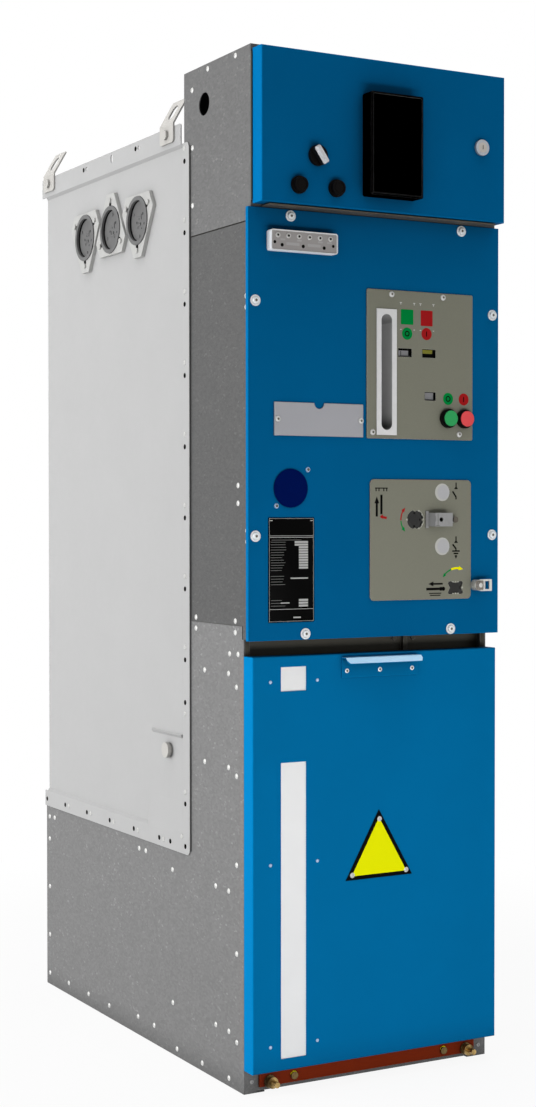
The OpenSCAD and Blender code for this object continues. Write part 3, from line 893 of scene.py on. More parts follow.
@dataclass(frozen=True)
class Ring:
    """One ring of a turned head: radius and height in millimetres, and lobes for a driver's recess."""

    radius: float
    height: float
    lobes: int = 0
    lobe_depth: float = 0.0

    def corners(self, sides: int) -> list[tuple[float, float, float]]:
        """Places the ring's corners.

        Args:
            sides: how many there are.

        Returns:
            Their places, in metres.
        """
        turns = [2 * math.pi * i / sides for i in range(sides)]
        radii = [self.radius * (1 + self.lobe_depth * math.cos(self.lobes * t)) * MM for t in turns]
        return [(r * math.cos(t), r * math.sin(t), self.height * MM) for r, t in zip(radii, turns)]


def turned(name: str, rings: Sequence[Ring], sides: int) -> bpy.types.Mesh:
    """Makes a turned head whose axis is Z, closed at both ends.

    Args:
        name: the mesh's name.
        rings: from the middle of the top, out over the rim, to the foot.
        sides: corners of each ring.

    Returns:
        The mesh.
    """
    shape = bmesh.new()
    loops = [[shape.verts.new(corner) for corner in ring.corners(sides)] for ring in rings]
    for inner, outer in zip(loops, loops[1:]):
        for i in range(sides):
            j = (i + 1) % sides
            shape.faces.new((inner[i], outer[i], outer[j], inner[j]))
    shape.faces.new(loops[0])
    shape.faces.new(list(reversed(loops[-1])))
    return closed_mesh(name, shape, 35.0)


class Head(Enum):
    """Fastener heads, by their rings and the number of sides."""

    RIVET = ((Ring(1.3, 0.9), Ring(1.6, 1.5), Ring(3.7, 1.15), Ring(5.0, 0.0), Ring(5.0, -0.2)), 12)
    WASHER_SCREW = ((Ring(1.9, 2.6, 6, 0.18), Ring(2.3, 4.6, 6, 0.18), Ring(3.6, 4.8), Ring(5.4, 4.2),
                     Ring(6.3, 2.9), Ring(6.4, 1.4), Ring(9.2, 1.4), Ring(9.6, 1.0), Ring(9.6, -0.2)), 24)
    PLATE_SCREW = ((Ring(1.2, 1.1, 4, 0.3), Ring(1.6, 2.3, 4, 0.3), Ring(3.4, 2.3), Ring(5.2, 1.4),
                    Ring(5.9, 0.3), Ring(5.9, -0.2)), 24)
    STUD = ((Ring(0.8, 1.3), Ring(2.4, 1.0), Ring(3.1, 0.0), Ring(3.1, -0.2)), 14)
    # HOLE is a flat disc laid over holes and recesses in a dark finish: painted shade.
    HOLE = ((Ring(1.0, 0.12), Ring(4.1, 0.12), Ring(4.2, -0.2)), 20)
    SIGN_RIVET = ((Ring(0.9, 0.9), Ring(1.1, 1.3), Ring(2.6, 0.9), Ring(3.4, 0.0), Ring(3.4, -0.2)), 14)


class GeometryBench(Bench):
    """A geometry tree with named inputs, whose result is realized and in one finish."""

    def __init__(self, name: str, inputs: dict[str, str]) -> None:
        """Makes the tree and names its sockets.

        Args:
            name: the tree's name.
            inputs: name to kind of each input, besides the start and the finish.
        """
        super().__init__(bpy.data.node_groups.new(name, "GeometryNodeTree"))
        for label, kind in {"Start": "Geometry", **inputs, "Finish": "Material"}.items():
            self.tree.interface.new_socket(label, in_out="INPUT", socket_type=f"NodeSocket{kind}")
        self.tree.interface.new_socket("Result", in_out="OUTPUT", socket_type="NodeSocketGeometry")
        self.given = self.node("NodeGroupInput")

    def vector(self, **parts: Any) -> Wire:
        """Returns a vector joined from its X, Y and Z."""
        return self.node("ShaderNodeCombineXYZ", None, parts).out("Vector")

    def chance(self, low: Any, high: Any) -> Wire:
        """Returns a random number from low to high for each element, by the seed given."""
        limits = {"Min": low, "Max": high, "Seed": self.given.out("Seed")}
        return self.node("FunctionNodeRandomValue", {"data_type": "FLOAT"}, limits).out("Value")

    def close(self, instances: Wire) -> None:
        """Ends the tree: realizes the instances and sets their material.

        Args:
            instances: the geometry to end with.
        """
        real = self.node("GeometryNodeRealizeInstances", None, {"Geometry": instances}).out("Geometry")
        finished = {"Geometry": real, "Material": self.given.out("Finish")}
        done = self.node("GeometryNodeSetMaterial", None, finished).out("Geometry")
        self.node("NodeGroupOutput", None, {"Result": done})

    def grow(self, name: str, start: bpy.types.Mesh, values: dict) -> bpy.types.Mesh:
        """Runs the tree on a mesh and keeps the result as a plain mesh.

        Args:
            name: the result's name.
            start: the mesh that it starts from.
            values: input name to value.

        Returns:
            The resulting mesh.
        """
        holder = bpy.data.objects.new(f"{name}_holder", start)
        bpy.context.scene.collection.objects.link(holder)
        modifier = holder.modifiers.new(self.tree.name, "NODES")
        modifier.node_group = self.tree
        sockets = [item for item in self.tree.interface.items_tree if item.in_out == "INPUT"]
        identifiers = {item.name: item.identifier for item in sockets}
        for label, value in values.items():
            modifier[identifiers[label]] = value
        graph = bpy.context.evaluated_depsgraph_get()
        mesh = bpy.data.meshes.new_from_object(holder.evaluated_get(graph), depsgraph=graph)
        mesh.name = name
        holder.modifiers.remove(modifier)
        bpy.data.objects.remove(holder)
        return mesh


class FastenerField(GeometryBench):
    """Sets one kind of head on many places at once, each turned a little differently."""

    SEED = 20

    def __init__(self) -> None:
        """Builds the tree: a head on each place, its axis along the place's facing."""
        super().__init__("fastener_field", {
            "Head": "Object", "Size": "Float", "Turn": "Float", "Seed": "Int"})
        most = self.given.out("Turn")
        spin = self.node("FunctionNodeEulerToRotation", None, {
            "Euler": self.vector(Z=self.chance(most * -1.0, most))})
        facing = self.node("GeometryNodeInputNamedAttribute", {"data_type": "FLOAT_VECTOR"},
                           {"Name": "facing"})
        aimed = self.node("FunctionNodeAlignRotationToVector", {"axis": "Z"},
                          {"Vector": facing.out("Attribute")})
        turned_to = self.node("FunctionNodeRotateRotation", {"rotation_space": "LOCAL"}, {
            "Rotation": aimed.out("Rotation"), "Rotate By": spin.out("Rotation")})
        head = self.node("GeometryNodeObjectInfo", {"transform_space": "ORIGINAL"},
                         {"Object": self.given.out("Head")})
        placed = self.node("GeometryNodeInstanceOnPoints", None, {
            "Points": self.given.out("Start"), "Instance": head.out("Geometry"),
            "Rotation": turned_to.out("Rotation"),
            "Scale": self.vector(**{axis: self.given.out("Size") for axis in "XYZ"})})
        self.close(placed.out("Instances"))

    def set_on(self, name: str, head: Head, places: Iterable[tuple[Face, Point]], finish: Finish,
               body: str = "cubicle", size: float = 1.0, slot: str = "steel",
               lift: float = 0.0) -> bpy.types.Object:
        """Sets a head on each place and adds them as one piece.

        Args:
            name: the piece's name.
            head: the kind of head.
            places: a face and the point on it, for each head.
            finish: the heads' finish.
            body: the CAD body that they ride on.
            size: how much larger than the plain head they are.
            slot: not used.
            lift: how far off the surface they sit, in millimetres.

        Returns:
            The new piece.
        """
        rings, sides = head.value
        template = bpy.data.objects.new(f"{name}_template", turned(f"{name}_template", rings, sides))
        spots = list(places)
        cloud = bpy.data.meshes.new(f"{name}_places")
        cloud.from_pydata([face.seat(*point) + lift * MM * face.out for face, point in spots], [], [])
        facing = cloud.attributes.new("facing", "FLOAT_VECTOR", "POINT")
        facing.data.foreach_set("vector", [value for face, _ in spots for value in face.out])
        mesh = self.grow(name, cloud, {"Head": template, "Size": size, "Turn": math.pi, "Seed": self.SEED,
                                       "Finish": finish.material()})
        bpy.data.objects.remove(template)
        return add_piece(name, mesh, body)


class RuledRows(GeometryBench):
    """Rows of thin bars, such as the blank fields of a plate, each as long as chance gives it."""

    PLY_MM = 0.16

    def __init__(self) -> None:
        """Builds the tree: a column of bars below each start, stretched to random lengths."""
        super().__init__("ruled_rows", {"Rows": "Int", "Pitch": "Float", "Shortest": "Float",
                                        "Longest": "Float", "Bar": "Vector", "Seed": "Int"})
        step = self.vector(Z=self.given.out("Pitch") * -1.0)
        column = self.node("GeometryNodeMeshLine", {"mode": "OFFSET"},
                           {"Count": self.given.out("Rows"), "Offset": step})
        length = self.chance(self.given.out("Shortest"), self.given.out("Longest"))
        bar = self.node("GeometryNodeMeshCube", None, {"Size": self.given.out("Bar")})
        half = self.given.out("Bar") * (0.5, 0.0, 0.0)
        from_left = self.node("GeometryNodeTransform", None, {
            "Geometry": bar.out("Mesh"), "Translation": half})
        bars = self.node("GeometryNodeInstanceOnPoints", None, {
            "Points": column.out("Mesh"), "Instance": from_left.out("Geometry"),
            "Scale": self.vector(X=length, Y=1.0, Z=1.0)})
        columns = self.node("GeometryNodeInstanceOnPoints", None, {
            "Points": self.given.out("Start"), "Instance": bars.out("Instances")})
        self.close(columns.out("Instances"))

    def bars(self, name: str, start: Vector, rows: int, pitch: float, lengths: Point, height: float,
             finish: Finish, seed: int = 1) -> bpy.types.Mesh:
        """Makes one column of bars on a front face.

        Args:
            name: the mesh's name.
            start: the left end of the first bar.
            rows: how many.
            pitch: distance from one down to the next, in millimetres.
            lengths: shortest and longest, in millimetres.
            height: height of a bar, in millimetres.
            finish: the bars' finish.
            seed: seed of their lengths.

        Returns:
            The mesh.
        """
        place = bpy.data.meshes.new(f"{name}_start")
        place.from_pydata([start], [], [])
        return self.grow(name, place, {
            "Rows": rows, "Pitch": pitch * MM, "Shortest": lengths[0], "Longest": lengths[1],
            "Bar": (MM, self.PLY_MM * MM, height * MM), "Seed": seed, "Finish": finish.material()})


class Artwork:
    """Flat prints of one ink on one face, each a thin closed slab a little higher than the last."""

    SUNK = 0.05
    PLY = 0.08
    STEP = 0.006

    def __init__(self, face: Face, centre: Point = (0.0, 0.0)) -> None:
        """Starts a print.

        Args:
            face: the face that it lies on.
            centre: the width and height that its own measures count from, in millimetres.
        """
        self.face = face
        self.centre = centre
        self.shape = bmesh.new()
        self.lift = self.PLY

    @classmethod
    def measured(cls, face: Face) -> "Artwork":
        """Starts a print on a front face, its own measures counting from the frame's origin."""
        return cls(face, (round(-face.origin.x / MM, 2), round(-face.origin.z / MM, 2)))

    def outline(self, points: Sequence[Point]) -> None:
        """Prints a filled outline.

        Args:
            points: its corners' widths and heights, in millimetres.
        """
        places = [(p[0] + self.centre[0], p[1] + self.centre[1]) for p in points]
        low = [self.shape.verts.new(self.face.at(*p, -self.SUNK)) for p in places]
        high = [self.shape.verts.new(self.face.at(*p, self.lift)) for p in places]
        for i, _ in enumerate(places):
            j = (i + 1) % len(places)
            self.shape.faces.new((low[i], low[j], high[j], high[i]))
        caps = [self.shape.faces.new(list(reversed(low))), self.shape.faces.new(high)]
        bmesh.ops.triangulate(self.shape, faces=caps)
        self.lift += self.STEP

    def box(self, centre: Point, size: Point, corner: float = 0.0) -> None:
        """Prints a rectangle by its middle and its size, with a corner radius."""
        self.outline(rounded_outline(centre, size, corner))

    def boxes(self, *boxes: Box) -> None:
        """Prints square-cornered rectangles, each by its middle's two measures and its width and height."""
        for across, height, width, tall in boxes:
            self.box((across, height), (width, tall))

    def disc(self, centre: Point, radius: float, sides: int = 40) -> None:
        """Prints a filled circle."""
        self.outline(arc_points(centre, radius, 0, 360 * (1 - 1 / sides), sides))

    def arc(self, centre: Point, radius: float, turn: Point, width: float) -> None:
        """Prints a band along an arc.

        Args:
            centre: the arc's centre.
            radius: its middle radius.
            turn: first and last angle, in degrees.
            width: the band's width.
        """
        steps = max(6, int(abs(turn[1] - turn[0]) / 6))
        outer = arc_points(centre, radius + width / 2, turn[0], turn[1], steps)
        inner = arc_points(centre, radius - width / 2, turn[1], turn[0], steps)
        self.outline(outer + inner)

    def ring(self, centre: Point, radius: float, width: float) -> None:
        """Prints a full ring as two half bands."""
        for start in (0, 180):
            self.arc(centre, radius, (start, start + 180), width)

    def stroke(self, first: Point, last: Point, width: float, end_width: Optional[float] = None) -> None:
        """Prints a straight stroke.

        Args:
            first: where it starts.
            last: where it ends.
            width: its width.
            end_width: its width at the end, where it tapers.
        """
        across = Vector((first[1] - last[1], last[0] - first[0])).normalized()
        near = across * width / 2
        far = across * (width if end_width is None else end_width) / 2
        self.outline([(first[0] + near.x, first[1] + near.y), (first[0] - near.x, first[1] - near.y),
                      (last[0] - far.x, last[1] - far.y), (last[0] + far.x, last[1] + far.y)])

    def arrow_head(self, tip: Point, degrees: float, length: float, width: float) -> None:
        """Prints a triangular head.

        Args:
            tip: its tip.
            degrees: the angle that it points along.
            length: from the tip to the foot.
            width: across the foot.
        """
        turn = math.radians(degrees)
        forward = Vector((math.cos(turn), math.sin(turn)))
        side = Vector((-forward.y, forward.x)) * width / 2
        foot = Vector(tip) - forward * length
        self.outline([tuple(tip), tuple(foot + side), tuple(foot - side)])

    def arc_arrow(self, centre: Point, radius: float, turn: Point, width: float, head: float) -> None:
        """Prints an arc that ends in an arrow head.

        Args:
            centre: the arc's centre.
            radius: its middle radius.
            turn: first angle and the angle of the tip, in degrees.
            width: the band's width.
            head: the head's length.
        """
        sign = 1 if turn[1] > turn[0] else -1
        back = math.degrees(head / radius)
        self.arc(centre, radius, (turn[0], turn[1] - sign * back * 0.9), width)
        tip = arc_points(centre, radius, turn[1], turn[1], 1)[0]
        self.arrow_head(tip, turn[1] + sign * (90 - back / 2), head, head * 0.85)

    def piece(self, name: str, finish: Finish, slot: str, body: str = "cubicle") -> bpy.types.Object:
        """Adds the print to the object; see add_shape."""
        return add_shape(name, self.shape, finish, body)


def arc_points(centre: Point, radius: float, first: float, last: float, steps: int) -> list[Point]:
    """Returns points along an arc, both ends included, for angles in degrees."""
    turns = [math.radians(first + (last - first) * i / max(1, steps - 1)) for i in range(steps)]
    return [(centre[0] + radius * math.cos(t), centre[1] + radius * math.sin(t)) for t in turns]


def rounded_outline(centre: Point, size: Point, corner: float) -> list[Point]:
    """Returns a rectangle's outline with round corners.

    Args:
        centre: its middle.
        size: width and height.
        corner: radius of the corners, or 0.

    Returns:
        The points, anticlockwise.
    """
    reach_x = size[0] / 2 - corner
    reach_y = size[1] / 2 - corner
    points = []
    for turn, (sx, sy) in enumerate([(1, 1), (-1, 1), (-1, -1), (1, -1)]):
        at = (centre[0] + sx * reach_x, centre[1] + sy * reach_y)
        if corner <= 0:
            points.append(at)
        else:
            points += arc_points(at, corner, turn * 90, turn * 90 + 90, 6)
    return points


def loft(shape: bmesh.types.BMesh, face: Face, rims: Sequence[tuple[Sequence[Point], float]],
         around: bool) -> None:
    """Joins outlines of equal count, each at its own depth behind a face, into a closed skin.

    Args:
        shape: the mesh that it is added to.
        face: the face that the outlines lie behind.
        rims: each outline and its depth, in millimetres.
        around: True to join the last to the first, False to cap both ends.
    """
    loops = [[shape.verts.new(face.at(*p, -back)) for p in outline] for outline, back in rims]
    pairs = list(zip(loops, loops[1:])) + ([(loops[-1], loops[0])] if around else [])
    for near, far in pairs:
        for i, _ in enumerate(near):
            j = (i + 1) % len(near)
            shape.faces.new((near[i], near[j], far[j], far[i]))
    if not around:
        shape.faces.new(loops[0])
        shape.faces.new(loops[-1])


def slab(name: str, face: Face, outline: Sequence[Point], thickness: float, finish: Finish,
         body: str = "cubicle", bevel: float = 0.25) -> bpy.types.Object:
    """Adds a plate on a face, with a small bevel round its outer edge.

    Args:
        name: the piece's name.
        face: the face that it lies on.
        outline: its outline, in the face's millimetres.
        thickness: how far it stands out, in millimetres.
        finish: its finish.
        body: the CAD body that it rides on.
        bevel: width of the bevel, in millimetres.

    Returns:
        The new piece.
    """
    shape = bmesh.new()
    low = [shape.verts.new(face.at(*p, -0.05)) for p in outline]
    high = [shape.verts.new(face.at(*p, thickness)) for p in outline]
    for i, _ in enumerate(outline):
        j = (i + 1) % len(outline)
        shape.faces.new((low[i], low[j], high[j], high[i]))
    shape.faces.new(list(reversed(low)))
    top = shape.faces.new(high)
    bmesh.ops.bevel(shape, geom=list(top.edges), offset=bevel * MM, segments=2, affect="EDGES", profile=0.6)
    return add_shape(name, shape, finish, body)


def dress(finish: Finish, *nodes: str) -> None:
    """Gives CAD nodes a finish, in every material slot that they have.

    Args:
        finish: the finish.
        nodes: the nodes' names.
    """
    for name in nodes:
        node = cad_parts[name]
        for slot in node.material_slots:
            slot.material = finish.material()
        LOG.info("%s: %s", name, finish.name)


# ---- Sub-assemblies ----


class Palette:
    """Every finish on the object."""

    # One galvanised sheet in four copies, darkest on the middle sides and the shelf and lightest on the
    # base: painted shade and light.
    BASE_ZINC = Galvanised("base_zinc", "6e6e6e", 0.5)
    MIDDLE_ZINC = Galvanised("middle_zinc", "494949", 0.5)
    BOX_ZINC = Galvanised("box_zinc", "5e5e5e", 0.5)
    SHELF_ZINC = Galvanised("shelf_zinc", "5a544a", 0.55)
    RAIL = SatinPaint("rail_paint", "46443c", 0.55)
    # One blue paint in three copies, lighter on the lower door and a little darker on the middle panel:
    # painted light and shade. The handle's upper colour is a painted highlight on its upward faces.
    LOW_BLUE = PowderCoat("low_blue", "006ca3", 0.55)
    MIDDLE_BLUE = PowderCoat("middle_blue", "005f93", 0.55)
    TOP_BLUE = PowderCoat("top_blue", "006095", 0.55)
    HANDLE_BLUE = PowderCoat("handle_blue", "006ea5", 0.5, gloss=0.9, upper="a0daff")
    TANK = SatinPaint("tank_white", "a6a6a6", 0.45)
    LUG = SatinPaint("lug_white", "b2b0ac", 0.5, wave_mm=60.0)
    PLUG = Moulding("plug_grey_moulding", "5e5e5e", 0.5)
    # Dark ring on the sockets' walls and dark notches: painted shade.
    SOCKET_SHADE = Moulding("socket_gasket", "0c0c0c", 0.7, shine=0.05)
    # Dark strip along the flanges' front edges: painted shade.
    FLANGE_EDGE_SHADE = Moulding("seal_rubber", "484848", 0.7)
    SOCKET = Moulding("socket_cream", "aaaaa8", 0.45)
    BAR = BarPaint("bar_paint", "862a06", 0.5)
    BRASS = StudBrass("brass_plating", "c4a468", 0.28, tarnish="1e150b", metal=0.85)
    ZINC_PLATED = PlatedMetal("zinc_plating", "d0d0cc", 0.4, metal=0.45)
    # A darker copy of the zinc plating: painted shade.
    HASP = PlatedMetal("hasp_zinc", "909090", 0.5, metal=0.2)
    CHROME = PlatedMetal("chrome_plating", "b4bac2", 0.3, tarnish="96989a", tarnish_share=0.3, metal=0.3)
    RIVET = PlatedMetal("rivet_aluminium", "cacac8", 0.45, tarnish="a4a4a0", metal=0.25)
    PAINTED_RIVET = SatinPaint("painted_rivet", "bebebc", 0.5, wave_mm=40.0, under=0.1)
    SCREW = PlatedMetal("screw_zinc", "e4e8ea", 0.4, tarnish="b8b4ac", metal=0.2)
    # Dark discs in screw recesses: painted shade.
    RECESS_SHADE = PlatedMetal("screw_recess", "5c564c", 0.6, tarnish="3a342c", metal=0.3)
    STUD = PlatedMetal("stud_steel", "a8c0dc", 0.45, tarnish="7890a8", metal=0.3)
    BLACK = Moulding("black_moulding", "0e0c0c", 0.42, shine=0.04)
    # The relay's bright edge lines are painted highlights.
    BLACK_GLASS = Moulding("relay_front", "000000", 0.15, grain_depth_mm=0.001, shine=0.0, edge_highlight_lift=0.4)
    KNOB = TwoTone("pale_knob", "d8d8da", 0.4)
    INDICATOR = Moulding("indicator_case", "f0f2f4", 0.5)
    # On the buttons' caps the dark sides are painted shade.
    GREEN_CAP = TwoTone("green_cap", "2aa35a", 0.35, node="open_button", front_mm=1.4)
    RED_CAP = TwoTone("red_cap", "ec5054", 0.35, node="close_button", front_mm=1.4)
    DRIVE = Moulding("drive_face", "3c3c3b", 0.7, grain_mm=0.8, grain_depth_mm=0.03, shine=0.1)
    SHUTTER = Moulding("drive_shutter", "363635", 0.7, shine=0.1)
    SLOT = Moulding("slot_moulding", "e6e6e6", 0.45)
    # The slot's grey lining is painted shade.
    SLOT_INSIDE = ShadedSleeve("slot_inside", "b8b8b8", 0.6)
    PLATE = PrintedPlate("olive_aluminium", "808072", 0.5)
    NAVY = Moulding("navy_window", "001250", 0.3, grain_depth_mm=0.002, shine=0.01)
    HOLDER = SatinPaint("holder_paint", "acacb1", 0.4, wave_mm=60.0)
    OPAL = Opal("opal_acrylic", "ececec", 0.35)
    FLAG = Moulding("flag_card", "8e8e90", 0.55)
    INK_BLACK = Ink("black_ink", "080808", 0.55)
    INK_GREY = Ink("grey_ink", "747472", 0.55)
    INK_WHITE = Ink("white_ink", "d2d2d0", 0.55)
    FLAG_OLIVE = Ink("olive_flag", "8f8d3c", 0.5)
    INK_GREEN = Ink("green_ink", "00883e", 0.5)
    INK_RED = Ink("red_ink", "a81e20", 0.5)
    INK_YELLOW = Ink("yellow_ink", "f6ee00", 0.5)
    SIGN_YELLOW = Ink("sign_yellow", "f0f200", 0.4)
    SIGN_BLACK = Ink("sign_black", "060606", 0.45)
    RATING_BLACK = Ink("rating_black", "040404", 0.4)
    FIELD = Ink("blank_field", "b8b8b6", 0.5)
    SEAM = Ink("seam_shadow", "2a2826", 0.8)
    BARREL = PlatedMetal("lock_barrel", "c4beb6", 0.4, tarnish="a8a098", metal=0.2)
    KEY_SLOT = Ink("key_slot", "6e6a66", 0.7)
    JOINT = Ink("joint_shadow", "5c5c5a", 0.8)
    LINER = Ink("window_liner", "0a0a0a", 0.8)
    # Painted highlights on the rims of the lever holes.
    KEYHOLE_HIGHLIGHT = Ink("pale_land", "bcbcb2", 0.5)
    # Painted shade round the latch's bolt.
    LATCH_SHADE = Ink("brown_grease", "8c867e", 0.5)
    DIM_RING = Ink("dim_ring", "d0ceca", 0.5)
    PALE_FIELD = Ink("pale_field", "b6b4b4", 0.5)
    PLUG_DOT = Ink("plug_dot", "3c3c3c", 0.7)
    EYE = Ink("eye_rim", "c6c6c0", 0.45)
    EYE_DISC = Ink("eye_disc", "bebec0", 0.45)
    INDICATOR_FACE = Ink("indicator_face", "a8a4a2", 0.5)
    # Dark discs over holes and bores: painted shade.
    HOLE_SHADE = Ink("hole_dark", "141312", 0.9)


@dataclass
class SubAssembly:
    """One part of the object, with the makers of heads and of blank rows that all parts share."""

    fasteners: FastenerField
    rows: RuledRows


@dataclass
class BaseSection(SubAssembly):
    """Galvanised base: side sheets, frame, rail and the earth bar at the foot.

    Its rivets are placed by distance from the front edge and height, in millimetres.
    """

    front_column: Point = (26.0, 83.0)
    front_pitch: float = 152.4
    front_count: int = 5
    post_rivets: tuple[Point, ...] = (
        (55, 714), (55, 552), (55, 338.5), (55, 95.3), (145.6, 714), (145.6, 552), (104, 339), (104, 95.5),
        (51, 748.4), (20, 749.2), (179, 785.9), (30, 785.9))
    back_column: tuple[Point, ...] = ((864, 354), (864, 307.6), (864, 206.8), (864, 105.2), (864, 23.9))
    floor_rows: tuple[Point, ...] = ((560, 24), (55, 14))
    floor_pitch: float = 101.5
    floor_count: int = 3
    floor_rivets: tuple[Point, ...] = (
        (354.9, 34), (425.6, 34), (276, 339), (275, 95), (390, 355.7), (419.5, 355.8), (837, 355))
    foot_screws: tuple[Point, ...] = ((-235, 18), (235, 17))
    step: tuple[float, float, float] = (5.0, 775.0, 798.0)
    seam: float = 1.8
    joint: Point = (194.0, 0.9)
    post: float = 9.4
    gap: float = 34
    disc_at: Point = (155.0, 12.5)
    disc_radius: float = 6.5

    def build(self) -> None:
        """Dresses the sheets and sets their rivets."""
        dress(Palette.BASE_ZINC, "base_side_left", "base_side_right", "base_back", "base_floor",
              "front_frame")
        dress(Palette.RAIL, "interlock_rail")
        dress(Palette.BAR, "earth_bar")
        dress(Palette.BRASS, "earth_studs")
        spots = row(self.front_column, (0, self.front_pitch), self.front_count)
        for first in self.floor_rows:
            spots += row(first, (self.floor_pitch, 0), self.floor_count)
        spots += [*self.post_rivets, *self.back_column, *self.floor_rivets]
        self.fasteners.set_on("base_rivets", Head.RIVET, spread(spots, *both_sides("base_side")),
                              Palette.RIVET)
        frame_face = front("front_frame")
        self.fasteners.set_on("foot_screws", Head.PLATE_SCREW, spread(self.foot_screws, frame_face),
                              Palette.HASP, size=0.68)
        self._bar_marks()
        self._step_seams()

    def _step_seams(self) -> None:
        """Darkens the open joints of the step under the middle sides, and paints shade on the posts beside
        the gap.
        """
        across, low, high = self.step
        width, thickness = self.joint
        for face in both_sides("base_side"):
            centre = (across - self.seam / 2, (low + high) / 2)
            outline = rounded_outline(centre, (self.seam, high - low), 0.2)
            slab(f"{face.node}_step", face, outline, 0.25, Palette.SEAM)
            outline = rounded_outline((across + width / 2 + 1.0, high), (width, thickness), 0.2)
            slab(f"{face.node}_joint", face, outline, 0.25, Palette.JOINT)
        frame_face = front("front_frame")
        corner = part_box("front_frame")[1]
        half = corner.x / MM
        top = (corner.z - frame_face.origin.z) / MM
        # Painted shade on the posts beside the gap, in the rail's paint.
        for hand, name in ((-1, "gap_post_left"), (1, "gap_post_right")):
            centre = (hand * (half - self.post / 2), top - self.gap / 2)
            outline = rounded_outline(centre, (self.post, self.gap), 0.2)
            slab(name, frame_face, outline, 0.3, Palette.RAIL)

    def _bar_marks(self) -> None:
        """Paints the earth bar's two plain yellow discs."""
        discs = Artwork(front("earth_bar"))
        across, height = self.disc_at
        for hand in (-1, 1):
            discs.disc((hand * across, height), self.disc_radius)
        discs.piece("earth_bar_discs", Palette.INK_YELLOW, "brass")


